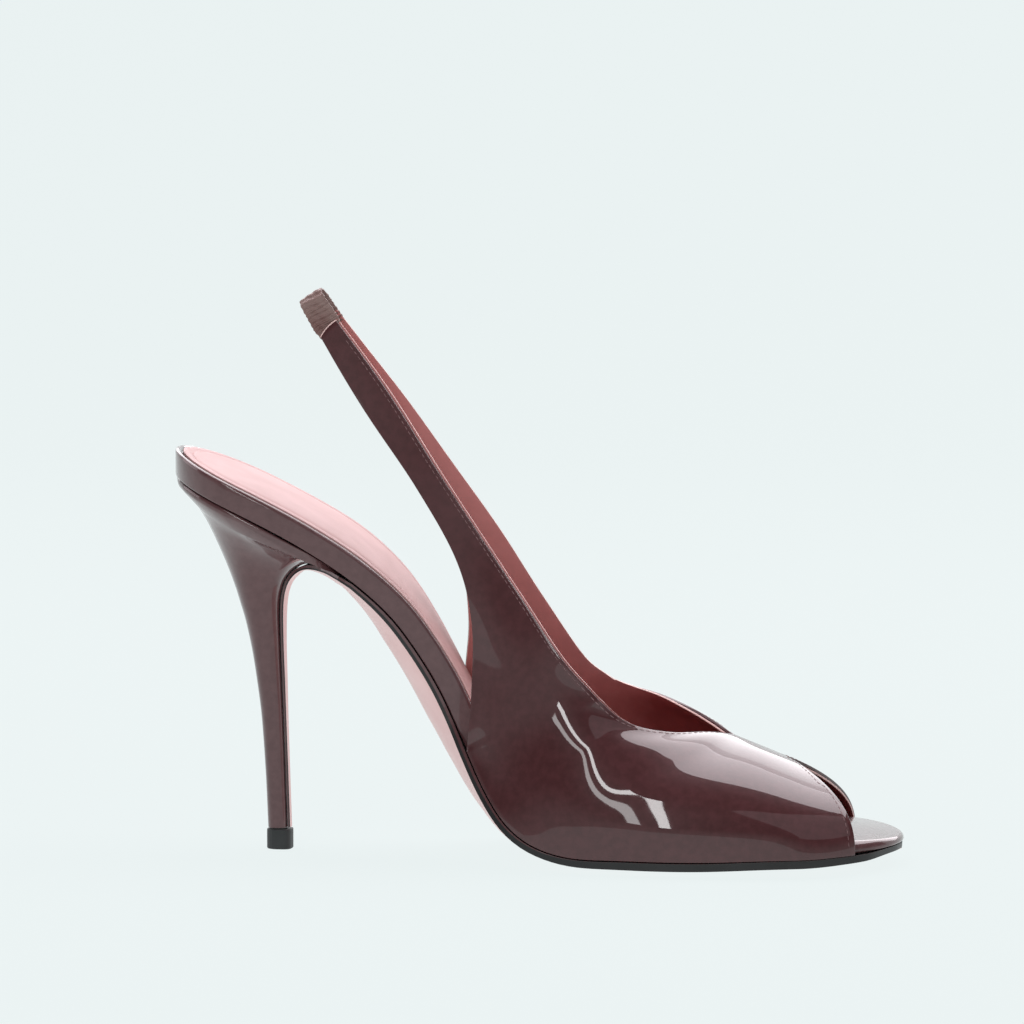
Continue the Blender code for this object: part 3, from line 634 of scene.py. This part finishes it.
def lining_with_painted_shade(name, high, low, roughness):
    """Lining clouded at random and darkened from the straps towards the toe: the darkening is
    painted shade, for the shade deep inside the vamp.
    """
    made, shader = new_material(name)
    nodes = made.node_tree.nodes
    place = nodes.new("ShaderNodeTexCoord")
    split = nodes.new("ShaderNodeSeparateXYZ")
    ramp = nodes.new("ShaderNodeValToRGB")
    blend = nodes.new("ShaderNodeMapRange")
    clouds = noise(made, 240.0, 4.0)
    link(made, place.outputs["Object"], split.inputs["Vector"])
    # Painted shade: between X = 107.7 mm and about 148 mm in the shoe frame the colour runs to the
    # dark one, deep inside the vamp; the noise adds random clouding.
    link(made, split.outputs["X"], blend.inputs["Value"])
    settle(blend, From_Min=0.0, From_Max=0.040)
    add = nodes.new("ShaderNodeMath")
    add.operation = "MULTIPLY_ADD"
    add.inputs[1].default_value = 0.25
    link(made, clouds.outputs["Fac"], add.inputs[0])
    link(made, blend.outputs["Result"], add.inputs[2])
    link(made, add.outputs["Value"], ramp.inputs["Fac"])
    ramp.color_ramp.elements[0].color = (*high, 1.0)
    ramp.color_ramp.elements[1].color = (*low, 1.0)
    ramp.color_ramp.elements[1].position = 1.1 / 1.25
    link(made, ramp.outputs["Color"], shader.inputs["Base Color"])
    settle(shader, Roughness=roughness)
    add_bump(made, shader, noise(made, 1500.0, 4.0), 0.3, 0.0001)
    return made


WINE = ((0.066, 0.016, 0.018), (0.084, 0.022, 0.025))
HEEL_WINE = ((0.100, 0.040, 0.043), (0.120, 0.052, 0.055))
LOOKS = {
    "patent": patent("patent_wine", *WINE),
    "wrapped": patent("patent_wrapped", *HEEL_WINE, wave=0.2),
    # Lining colours: its own at the straps, and a darker one that is painted shade inside the vamp.
    "lining": lining_with_painted_shade("lining_leather", (0.60, 0.235, 0.225), (0.19, 0.032, 0.030), 0.5),
    # The lining's edge: a pale pink that is partly its own colour and partly painted highlight,
    # much brighter than the lining, along the topline and the strap ends.
    "lining_edge_highlight": hide("lining_edge_highlight", (0.86, 0.58, 0.55), (0.93, 0.66, 0.63), 0.6),
    "sock": hide("sock_pink", (0.54, 0.32, 0.31), (0.60, 0.37, 0.36), 0.5),
    "sole": hide("sole_pink", (0.88, 0.56, 0.55), (0.93, 0.62, 0.61), 0.36, 0.25, 1200.0),
    "dyed_edge": hide("edge_black", (0.014, 0.014, 0.015), (0.022, 0.021, 0.022), 0.38, 0.3, 900.0),
    "rubber": hide("rubber_black", (0.022, 0.024, 0.025), (0.034, 0.037, 0.038), 0.55, 0.4, 1400.0),
    "thread": hide("thread_wine", (0.20, 0.105, 0.11), (0.30, 0.17, 0.175), 0.5, 0.3, 2500.0),
    "sock_thread": hide("thread_pink", (0.60, 0.35, 0.33), (0.70, 0.43, 0.40), 0.6, 0.3, 2500.0),
    "elastic": hide("elastic_wine", (0.20, 0.105, 0.095), (0.32, 0.22, 0.20), 0.45, 0.5, 1600.0),
}


def wear(mesh, looks):
    for look in looks:
        mesh.materials.append(LOOKS[look])


def piece_from(name, verts, faces, looks, picks=None, sharp=40):
    """Mesh object that rides on the shoe; picks gives each face's place in the list of looks."""
    mesh = bpy.data.meshes.new(name)
    points = (np.array(verts, float) - ORIGIN) * MM
    mesh.from_pydata(points.tolist(), [], [tuple(map(int, face)) for face in faces])
    wear(mesh, looks)
    if picks is not None:
        mesh.polygons.foreach_set("material_index", np.array(picks, np.int32))
    bm = bmesh.new()
    bm.from_mesh(mesh)
    bmesh.ops.recalc_face_normals(bm, faces=bm.faces)
    bm.to_mesh(mesh)
    bm.free()
    mesh.shade_smooth()
    mesh.set_sharp_from_angle(angle=math.radians(sharp))
    return add_object(name, mesh)


def dress(piece, slot, *nodes):
    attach(piece, "root")
    if nodes:
        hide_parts(*nodes)


def upper_grid(side):
    """Points of one half of the upper, evened along the shoe while its long edges stay put."""
    grid = np.array([rung_points(rung, side) for rung in RUNG_LIST])
    share = np.linspace(0, 1, grid.shape[1])[None, :, None]
    base = grid[:, :1] * (1 - share) + grid[:, -1:] * share
    flat = STRAP_FLAT * (1 - np.array([ease(5.5, 9.0, rung) for rung in RUNG_LIST]))
    grid = base + (grid - base) * (1 - flat)[:, None, None]
    width = np.linalg.norm(grid[:, -1] - grid[:, 0], axis=1)
    turn = [ease(0.6, 2.5, rung) * (1 - ease(8.3, 11.8, rung)) for rung in RUNG_LIST]
    turn = side * math.tan(math.radians(STRAP_TWIST)) * width * np.array(turn)
    grid[:, :, 1] += turn[:, None] * (share[:, :, 0] - 0.5)
    soft = grid.copy()
    for _ in range(SMOOTHING_PASSES):
        soft[1:-1] = (soft[:-2] + 2 * soft[1:-1] + soft[2:]) / 4
    for column in (0, -1):
        edge = soft[:, column:][:, :1]
        away = np.linalg.norm(soft - edge, axis=2)
        share = np.exp(-(away / EDGE_REACH) ** 2)[:, :, None]
        soft += (grid[:, column:][:, :1] - edge) * share
    return soft


def grid_normals(grid, side):
    along, across = np.gradient(grid, axis=0), np.gradient(grid, axis=1)
    normals = np.cross(along, across) * (-1 if side == INNER else 1)
    normals /= np.linalg.norm(normals, axis=2, keepdims=True) + 1e-12
    if np.mean(normals[:, 2:8, 1]) * side < 0:
        normals = -normals
    return normals


def crease(grid, normals, side):
    """Moves the wall out along each crease, fading to nothing at its ends and at the edges."""
    rear = np.linalg.norm(grid - grid[:, :1], axis=2)
    top = np.linalg.norm(grid - grid[:, -1:], axis=2)
    keep = (1 - np.exp(-(rear / EDGE_REACH) ** 2)) * (1 - np.exp(-(top / EDGE_REACH) ** 2))
    made = grid.copy()
    for where, start_x, start_z, end_x, end_z, height, width in CREASES:
        if where != side:
            continue
        start = np.array((start_x, start_z))
        way = np.array((end_x, end_z)) - start
        spot = grid[:, :, (0, 2)] - start
        t = np.clip((spot @ way) / (way @ way), 0, 1)
        away = np.linalg.norm(spot - t[:, :, None] * way, axis=2)
        lift = height * np.exp(-(away / width) ** 2) * (1 - (2 * t - 1) ** 4) ** 2 * keep
        made += normals * lift[:, :, None]
    return made


def layer(name, grids, depth, thickness, grow, looks):
    """One layer of the upper's wall, from a depth under its face, with rounded edges."""
    verts, faces, ids = [], [], {}
    for side in (INNER, OUTER):
        grid, normals = grids[side]
        made = grid - normals * depth
        if grow:
            out = made[:THROAT_ROW, -1] - made[:THROAT_ROW, -2]
            made[:THROAT_ROW, -1] += grow * out / np.linalg.norm(out, axis=1)[:, None]
            for last, before in ((-1, -2), (0, 1)):
                out = made[last] - made[before]
                made[last] += grow * out / np.linalg.norm(out, axis=1)[:, None]
        rows, columns = made.shape[:2]
        index = np.arange(rows * columns).reshape(rows, columns) + len(verts)
        verts.extend(made.reshape(-1, 3))
        if side == OUTER:
            index[THROAT_ROW:, -1] = ids[INNER][THROAT_ROW:, -1]
            for k, ref in enumerate(ids[INNER][THROAT_ROW:, -1]):
                other = made[THROAT_ROW + k, -1]
                verts[ref] = (np.array(verts[ref]) + other) / 2
        ids[side] = index
        for k in range(rows - 1):
            for c in range(columns - 1):
                cell = (index[k, c], index[k, c + 1], index[k + 1, c + 1], index[k + 1, c])
                faces.append(cell if side == OUTER else cell[::-1])
    used = sorted({i for face in faces for i in face})
    place = {old: new for new, old in enumerate(used)}
    mesh = bpy.data.meshes.new(name)
    points = (np.array([verts[i] for i in used]) - ORIGIN) * MM
    mesh.from_pydata(points.tolist(), [], [tuple(place[i] for i in face) for face in faces])
    wear(mesh, looks)
    mesh.shade_smooth()
    piece = add_object(name, mesh)
    wall = piece.modifiers.new("wall", "SOLIDIFY")
    wall.thickness = thickness * MM
    wall.offset = -1.0
    wall.material_offset_rim = 1
    round_edge = piece.modifiers.new("round", "BEVEL")
    round_edge.width = min(EDGE_ROUND, thickness * 0.42) * MM
    round_edge.segments = 2
    round_edge.limit_method = "ANGLE"
    round_edge.angle_limit = math.radians(55)
    return piece


def run_lengths(path):
    """Distance along a path to each of its points."""
    steps = np.linalg.norm(np.diff(path, axis=0), axis=1)
    return np.concatenate(([0.0], np.cumsum(steps)))


def stitches(name, path, normals, look, slot, sizes=(STITCH_PITCH, STITCH_LENGTH, STITCH_THICK)):
    """Row of stitches, each a small rounded stroke lying half in the leather."""
    pitch, long, thick = sizes
    path, normals = np.array(path), np.array(normals)
    lengths = run_lengths(path)
    count = int(lengths[-1] / pitch)
    verts, faces = [], []
    for k in range(count):
        middle = (k + 0.5) * pitch
        spots = [middle + long * share for share in (-0.5, -0.25, 0.0, 0.25, 0.5)]
        rings = []
        for spot, size in zip(spots, STITCH_SIZES):
            here = np.array([np.interp(spot, lengths, path[:, i]) for i in range(3)])
            up = unit([np.interp(spot, lengths, normals[:, i]) for i in range(3)])
            ahead = np.array([np.interp(spot + 0.1, lengths, path[:, i]) for i in range(3)])
            way = ahead - here
            way = unit(way) if np.linalg.norm(way) > 1e-6 else np.array((1.0, 0.0, 0.0))
            side = np.cross(up, way)
            ring = []
            for angle in ROUND_SIX:
                offset = side * math.cos(angle) + up * (0.7 * math.sin(angle))
                ring.append(len(verts))
                verts.append(here + offset * thick / 2 * size + up * STITCH_PROUD)
            rings.append(ring)
        for low, high in zip(rings, rings[1:]):
            for j in range(len(ROUND_SIX)):
                m = (j + 1) % len(ROUND_SIX)
                faces.append((low[j], low[m], high[m], high[j]))
        faces.append(tuple(rings[0][::-1]))
        faces.append(tuple(rings[-1]))
    dress(piece_from(name, verts, faces, [look], sharp=80), slot)


def inset_path(grid, normals, column, neighbour_step, inset, rows):
    """Path on the wall a set distance inside one of its long edges."""
    path, ups = [], []
    for k in rows:
        run, here = 0.0, grid[k, column]
        c = column
        while run < inset and 0 <= c + neighbour_step < grid.shape[1]:
            step = np.linalg.norm(grid[k, c + neighbour_step] - grid[k, c])
            if run + step >= inset:
                t = (inset - run) / step
                here = grid[k, c] + (grid[k, c + neighbour_step] - grid[k, c]) * t
                break
            run += step
            c += neighbour_step
            here = grid[k, c]
        path.append(here)
        ups.append(normals[k, c])
    return path, ups


def cord(name, path, thick, look, slot):
    """Thin round line along a path."""
    path = np.array(path)
    loops = []
    for here, way in zip(path, np.gradient(path, axis=0)):
        way = unit(way)
        side = unit(np.cross(way, (0.0, 1.0, 0.0)))
        up = np.cross(side, way)
        loops.append([here + (side * math.cos(angle) + up * math.sin(angle)) * thick / 2
                      for angle in ROUND_SIX])
    dress(tube_piece(name, [look], loops, [0] * len(ROUND_SIX), 80), slot)


def build_upper():
    """Patent skin and lining as two layers, the rows of stitches and the strap ends' pale lines;
    the lining's edges carry a painted highlight.
    """
    grids = {}
    for side in (INNER, OUTER):
        grid = upper_grid(side)
        normals = grid_normals(grid, side)
        grid = crease(grid, normals, side)
        grids[side] = (grid, grid_normals(grid, side))
    skin = layer("upper_skin", grids, 0.0, SKIN, 0.0, ("patent", "patent"))
    dress(skin, "upper_patent", "upper")
    thick = WALL - SKIN - 2 * LAYER_GAP
    # The lining's rim faces take the pale edge colour with its painted highlight.
    looks = ("lining", "lining_edge_highlight")
    lining = layer("upper_lining", grids, SKIN + LAYER_GAP, thick, LINING_SHOWS, looks)
    dress(lining, "upper_patent", "upper")
    for side, word in ((INNER, "inner"), (OUTER, "outer")):
        grid, normals = grids[side]
        rows = range(4, THROAT_ROW - 4)
        path, ups = inset_path(grid, normals, grid.shape[1] - 1, -1, STITCH_INSET, rows)
        stitches("stitches_topline_" + word, path, ups, "thread", "upper_patent")
        path, ups = [], []
        for c in range(2, grid.shape[1] - 1):
            lengths = run_lengths(grid[::-1, c])[1:]
            row = -2 - int(np.searchsorted(lengths, STITCH_INSET))
            path.append(grid[row, c])
            ups.append(normals[row, c])
        stitches("stitches_peep_" + word, path, ups, "thread", "upper_patent")
        ahead = grid[0] - grid[1]
        ahead /= np.linalg.norm(ahead, axis=1)[:, None]
        rim = grid[0] + ahead * EDGE_LINE_OUT - normals[0] * EDGE_LINE_IN
        cord("strap_edge_" + word, rim, EDGE_LINE, "lining_edge_highlight", "upper_patent")


def fine_slab(name, looks, rings_at, places, rounds, end, columns, top):
    """The sole pieces' sheet as in the solids, but finer; its edge may change along it."""
    verts, faces, loops = [], [], []
    last = len(places) - 1
    profiles = [rings_at(along) for along in places]
    for step in range(len(profiles[0])):
        loop = []
        for k, along in enumerate(places):
            ring = profiles[k][step]
            for side in ((INNER, OUTER) if 0 < k < last else (INNER,)):
                place = edge_place(along, side, -ring[0], rounds, end)
                if k == 0:
                    place = (along + ring[0], sole("middle", along))
                if k == last:
                    place = (along - ring[0], sole("middle", along))
                up = ring_height(ring, place[0])
                place = (place[0] + upright_shift(place[0], up), place[1])
                loop.append((k, side, place, len(verts)))
                verts.append(on_sole(*place, up))
        loops.append(loop)
    for low, high in zip(loops, loops[1:]):
        a, b = ring_ids(low), ring_ids(high)
        for k in range(len(a)):
            m = (k + 1) % len(a)
            faces.append((a[k], a[m], b[m], b[k]))
    for loop, step, shape in ((loops[0], 0, None), (loops[-1], -1, top)):
        rows = []
        for k in range(len(places)):
            ends = [(place, ref) for j, side, place, ref in loop if j == k]
            if len(ends) == 1:
                rows.append([ends[0][1]] * (columns + 1))
                continue
            (first, first_ref), (second, second_ref) = ends
            row = [first_ref]
            for c in range(1, columns):
                t = c / columns
                place = [first[i] + (second[i] - first[i]) * t for i in (0, 1)]
                lift = shape(place[0], t) if shape else 0.0
                row.append(len(verts))
                verts.append(on_sole(*place, ring_height(profiles[k][step], place[0]) + lift))
            rows.append(row + [second_ref])
        for low, high in zip(rows, rows[1:]):
            for c in range(columns):
                faces.append(tuple(dict.fromkeys((low[c], low[c + 1], high[c + 1], high[c]))))
    return piece_from(name, verts, faces, looks)


def build_footbed():
    """Footbed with a rolled edge; ahead of the sock its top is full and its edge rolls further."""
    def rings_at(along):
        front = ease(SOCK_END - 1, SOCK_END + 6, along)
        roll = ROLL_BACK + (min(ROLL_AHEAD, 0.75 * sole("board", along)) - ROLL_BACK) * front
        made = [(0.35, 1.0, 0.0), (0.1, 1.0, 0.12), (0.0, 1.0, 0.4)]
        for k in range(ROLL_STEPS + 1):
            angle = math.radians(90 / ROLL_STEPS * k)
            made.append((roll * (1 - math.cos(angle)), 0.0, roll * (math.sin(angle) - 1)))
        for back, ahead in INNER_RINGS:
            inset, height = [back[i] + (ahead[i] - back[i]) * front for i in (0, 1)]
            made.append((inset, 0.0, height))
        return made

    def dome(along, t):
        left = min(1.0, max(0.0, (SOLE_LENGTH - INNER_RINGS[-1][1][0] - along) / 22.0))
        front = ease(SOCK_END - 1, SOCK_END + 6, along)
        return DOME * (1 - (2 * t - 1) ** 2) * (1 - (1 - left) ** 2) * front

    rounds = (HEEL_ROUND, TOE_ROUND)
    places = stations(0.0, SOLE_LENGTH, rounds, 2.0, 18)
    made = fine_slab("footbed_skin", ["wrapped"], rings_at, places, rounds, SOLE_LENGTH, 12, dome)
    dress(made, "footbed_patent", "footbed")


def build_sock():
    """Padded sock with a stitched groove inside its edge."""
    rounds = (HEEL_ROUND, SOCK_ROUND)
    low, high = GAP - SOCK_BED, GAP - SOCK_BED + SOCK_THICK
    rings = [(0.0, low), (0.0, high - 0.25), (0.08, high - 0.08), (0.3, high), (1.2, high + 0.12)]
    rings += [(2.3, high + 0.08), (2.75, high - GROOVE), (3.25, high - GROOVE), (3.7, high + 0.08)]
    rings = [(SOCK_INSET + inset, 0.0, height) for inset, height in rings]
    places = stations(0.0, SOCK_END, rounds, 2.0, 14)

    def pad(along, t):
        ends = ease(0.0, 30.0, along) * (1 - ease(SOCK_END - 30.0, SOCK_END, along))
        return PAD * (1 - (2 * t - 1) ** 4) * ends

    def rings_at(along):
        return rings

    made = fine_slab("sock_leather", ["sock"], rings_at, places, rounds, SOCK_END, 16, pad)
    dress(made, "sock_leather", "insole_sock")
    path, ups = [], []
    for side in (INNER, OUTER):
        for along in (places[1:-1] if side == INNER else places[1:-1][::-1]):
            spot = edge_place(along, side, -(SOCK_INSET + 3.0), rounds, SOCK_END)
            path.append(on_sole(*spot, high - GROOVE))
            ups.append(square_up(along))
    stitches("stitches_sock", path, ups, "sock_thread", "sock_leather", SOCK_STITCH)


def tube_piece(name, looks, loops, marks, sharp=40):
    """Solid through closed loops; marks gives the look of each step round a loop."""
    size = len(loops[0])
    verts = [point for loop in loops for point in loop]
    faces = [tuple(range(size)), tuple(range(len(verts) - size, len(verts)))]
    picks = [0, 0]
    for start in range(size, len(verts), size):
        for k in range(size):
            m = (k + 1) % size
            faces.append((start - size + k, start - size + m, start + m, start + k))
            picks.append(marks[k])
    return piece_from(name, verts, faces, looks, picks, sharp)


def narrow(loop, share):
    """Draws a loop in towards its middle line."""
    middle = sum(point[1] for point in loop) / len(loop)
    return [(x, middle + (y - middle) * share, z) for x, y, z in loop]


def edge_split(loop, share):
    """Adds a point on each side of a sole loop, where the dyed part of its edge begins."""
    loop = [np.array(point) for point in loop]
    first = loop[2] + (loop[1] - loop[2]) * share
    second = loop[-1] + (loop[0] - loop[-1]) * share
    return loop[:2] + [first] + loop[2:] + [second]


def build_outsole():
    """Sole from the foot of the tongue up to the breast and along to the toe, with a dyed edge."""
    loops = []
    last = HEEL_ROWS[-1][0]
    for k in range(last * TONGUE_STEPS + 1):
        step = last - k / TONGUE_STEPS
        loop = narrow(tongue_loop(step), 1 - TONGUE_DRAWN_IN * ease(1.0, 5.0, step))
        loops.append(edge_split(loop, TONGUE_DYED))
    places = stations(0.0, SOLE_LENGTH, (HEEL_ROUND, TOE_ROUND), 2.0, 22)
    for along in places[:-1]:
        if along >= OUTSOLE_START:
            loop = sole_loop(along)
            ys = [point[1] for point in loop]
            half = (max(ys) - min(ys)) / 2
            tuck = TOE_TUCK * ease(SOLE_LENGTH - 60.0, SOLE_LENGTH - 20.0, along)
            back = tuck * ease(SOLE_LENGTH - 14.0, SOLE_LENGTH, along)
            loop = [(x - back, y, z) for x, y, z in loop]
            loop = narrow(loop, 1 - min(0.5, tuck / half))
            dyed = DYED_ARCH + DYED_MORE * ease(130.0, 175.0, along)
            loops.append(edge_split(loop, dyed))
    size = len(loops[0])
    marks = [0] * size
    marks[0] = marks[2] = marks[-2] = 1
    marks[1] = marks[-1] = 2
    made = tube_piece("outsole_leather", ["sole", "dyed_edge", "wrapped"], loops, marks, 50)
    made.data.polygons[1].material_index = 1
    dress(made, "outsole_leather", "outsole")


def build_heel():
    """Heel with its rim under the footbed, down to the top piece."""
    loops = [rim_loop(share, inset) for share, inset in RIM_ROWS]
    last = HEEL_ROWS[-1][0]
    loops += [heel_loop(k / HEEL_STEPS) for k in range(last * HEEL_STEPS + 1)]
    made = tube_piece("heel_skin", ["wrapped"], loops, [0] * len(loops[0]), 60)
    dress(made, "heel_patent", "heel")


def build_elastic():
    """Gathered band: fine folds across its length, deeper at the middle of its width."""
    strap_end = (np.array(STRAP_INNER[0][1:4]) + np.array(STRAP_INNER[0][4:7])) / 2
    centre = strap_end * (1, 0, 1)
    half_gap = STRAP_GAP - WALL - GAP
    spread = half_gap + ELASTIC_FLARE * ELASTIC_TUCK
    path = [(-ELASTIC_TUCK + k * ELASTIC_TUCK / 12, -spread + (spread - half_gap) * k / 12)
            for k in range(13)]
    straight = ELASTIC_RISE - ELASTIC_TURN
    path += [(straight * k / 12, -half_gap) for k in range(1, 12)]
    for k in range(41):
        angle = math.radians(180 * k / 40)
        up = straight + ELASTIC_TURN * math.sin(angle)
        path.append((up, -(half_gap + ELASTIC_SWELL * math.sin(angle)) * math.cos(angle)))
    path += [(straight + (ELASTIC_OUTER - straight) * k / 6, half_gap) for k in range(1, 7)]
    path += [(ELASTIC_OUTER - ELASTIC_TUCK * k / 12, half_gap + (spread - half_gap) * k / 12)
             for k in range(1, 13)]
    path = np.array(path)
    run = run_lengths(path)
    fine = np.arange(0.0, run[-1], ELASTIC_PITCH)
    path = np.column_stack([np.interp(fine, run, path[:, i]) for i in (0, 1)])
    ways = np.gradient(path, axis=0)
    ways /= np.linalg.norm(ways, axis=1)[:, None]
    lengths = run_lengths(path)
    loops = []
    for k, (up, y) in enumerate(path):
        width = ELASTIC_WIDTH * (1.0 - 0.012 * max(up, 0.0) - 0.05 * max(-up, 0.0))
        normal = np.array((0.0, ways[k][0], 0.0)) - BAND_WAY * ways[k][1]
        row_out, row_in = [], []
        for c in range(ELASTIC_CELLS + 1):
            t = 2 * c / ELASTIC_CELLS - 1
            drift = 1.1 * math.sin(t * 2.6) + 0.8 * math.sin(lengths[k] * 1.3)
            fold = math.sin(lengths[k] * 4.3 + drift)
            depth = (0.7 + 0.3 * math.cos(t * 9.0 + lengths[k])) * (1 - 0.3 * t * t)
            ripple = ELASTIC_FOLD * fold * depth
            edge = 0.2 * t ** 6
            across = t * width / 2 * (1 + 0.014 * fold)
            base = centre + BAND_WAY * up + BAND_ACROSS * across + np.array((0.0, y, 0.0))
            row_out.append(base - normal * (0.18 - 0.5 * ripple + edge))
            row_in.append(base - normal * (ELASTIC_THICK - 0.12 - edge + ripple))
        loops.append(row_out + row_in[::-1])
    made = tube_piece("elastic_band", ["elastic"], loops, [0] * len(loops[0]), 60)
    dress(made, "elastic_cloth", "heel_elastic")


def area_light(name, place, aim, size, strength, colour=(1.0, 1.0, 1.0), on_matt=True):
    """Soft rectangle of light that isn't seen itself; strength is its brightness."""
    data = bpy.data.lights.new(name, "AREA")
    data.shape = "RECTANGLE"
    data.size, data.size_y = size
    data.energy = strength * math.pi * size[0] * size[1]
    data.color = colour
    light = add_object(name, data)
    light.location = place
    light.rotation_euler = (Vector(place) - Vector(aim)).to_track_quat("Z", "Y").to_euler()
    light.visible_camera = False
    light.visible_diffuse = on_matt


def studio():
    """Pale sweep, a world that is darker above, the soft lights, and the two tall strips."""
    profile = [(-4.0, 0.0), (-1.5, 0.0), (1.0, 0.0), (1.6, 0.0)]
    profile += [(1.6 + 0.8 * math.sin(math.radians(a)), 0.8 - 0.8 * math.cos(math.radians(a)))
                for a in range(10, 91, 10)]
    profile += [(2.4, 2.6)]
    verts = [(x, y, z) for y, z in profile for x in (-5.0, 5.0)]
    faces = [(2 * k, 2 * k + 1, 2 * k + 3, 2 * k + 2) for k in range(len(profile) - 1)]
    mesh = bpy.data.meshes.new("sweep")
    mesh.from_pydata(verts, [], faces)
    mesh.shade_smooth()
    made, shader = new_material("sweep_paper")
    settle(shader, Base_Color=(0.035, 0.035, 0.035, 1.0), Roughness=0.9, Specular_IOR_Level=0.0)
    settle(shader, Emission_Color=(0.925, 1.0, 1.0, 1.0), Emission_Strength=0.86)
    mesh.materials.append(made)
    add_object("sweep", mesh)
    world = bpy.data.worlds.new("studio")
    world.use_nodes = True
    nodes = world.node_tree.nodes
    place = nodes.new("ShaderNodeTexCoord")
    split = nodes.new("ShaderNodeSeparateXYZ")
    ramp = nodes.new("ShaderNodeValToRGB")
    ramp.color_ramp.elements[0].position, ramp.color_ramp.elements[1].position = 0.0, 0.36
    for element, grey in zip(ramp.color_ramp.elements, WORLD_GREYS):
        element.color = (grey, grey, grey, 1.0)
    ramp.color_ramp.interpolation = "EASE"
    link(world, place.outputs["Generated"], split.inputs["Vector"])
    link(world, split.outputs["Z"], ramp.inputs["Fac"])
    link(world, ramp.outputs["Color"], nodes["Background"].inputs["Color"])
    bpy.context.scene.world = world
    for name, where, aim, size, strength, on_matt in LIGHTS:
        area_light(name, where, aim, size, strength, LIGHT_TINT, on_matt)
    for name, azimuth, strength in STRIPS:
        angle = math.radians(azimuth)
        spot = (STRIP_AWAY * math.sin(angle), -STRIP_AWAY * math.cos(angle), STRIP_HIGH)
        area_light(name, spot, (0.0, 0.0, STRIP_HIGH), STRIP_SIZE, strength)


def main():
    place_camera()
    build_upper()
    build_footbed()
    build_sock()
    build_outsole()
    build_heel()
    build_elastic()
    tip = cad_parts["heel_tip"]
    tip.data.materials.clear()
    wear(tip.data, ["rubber"])
    studio()


main()
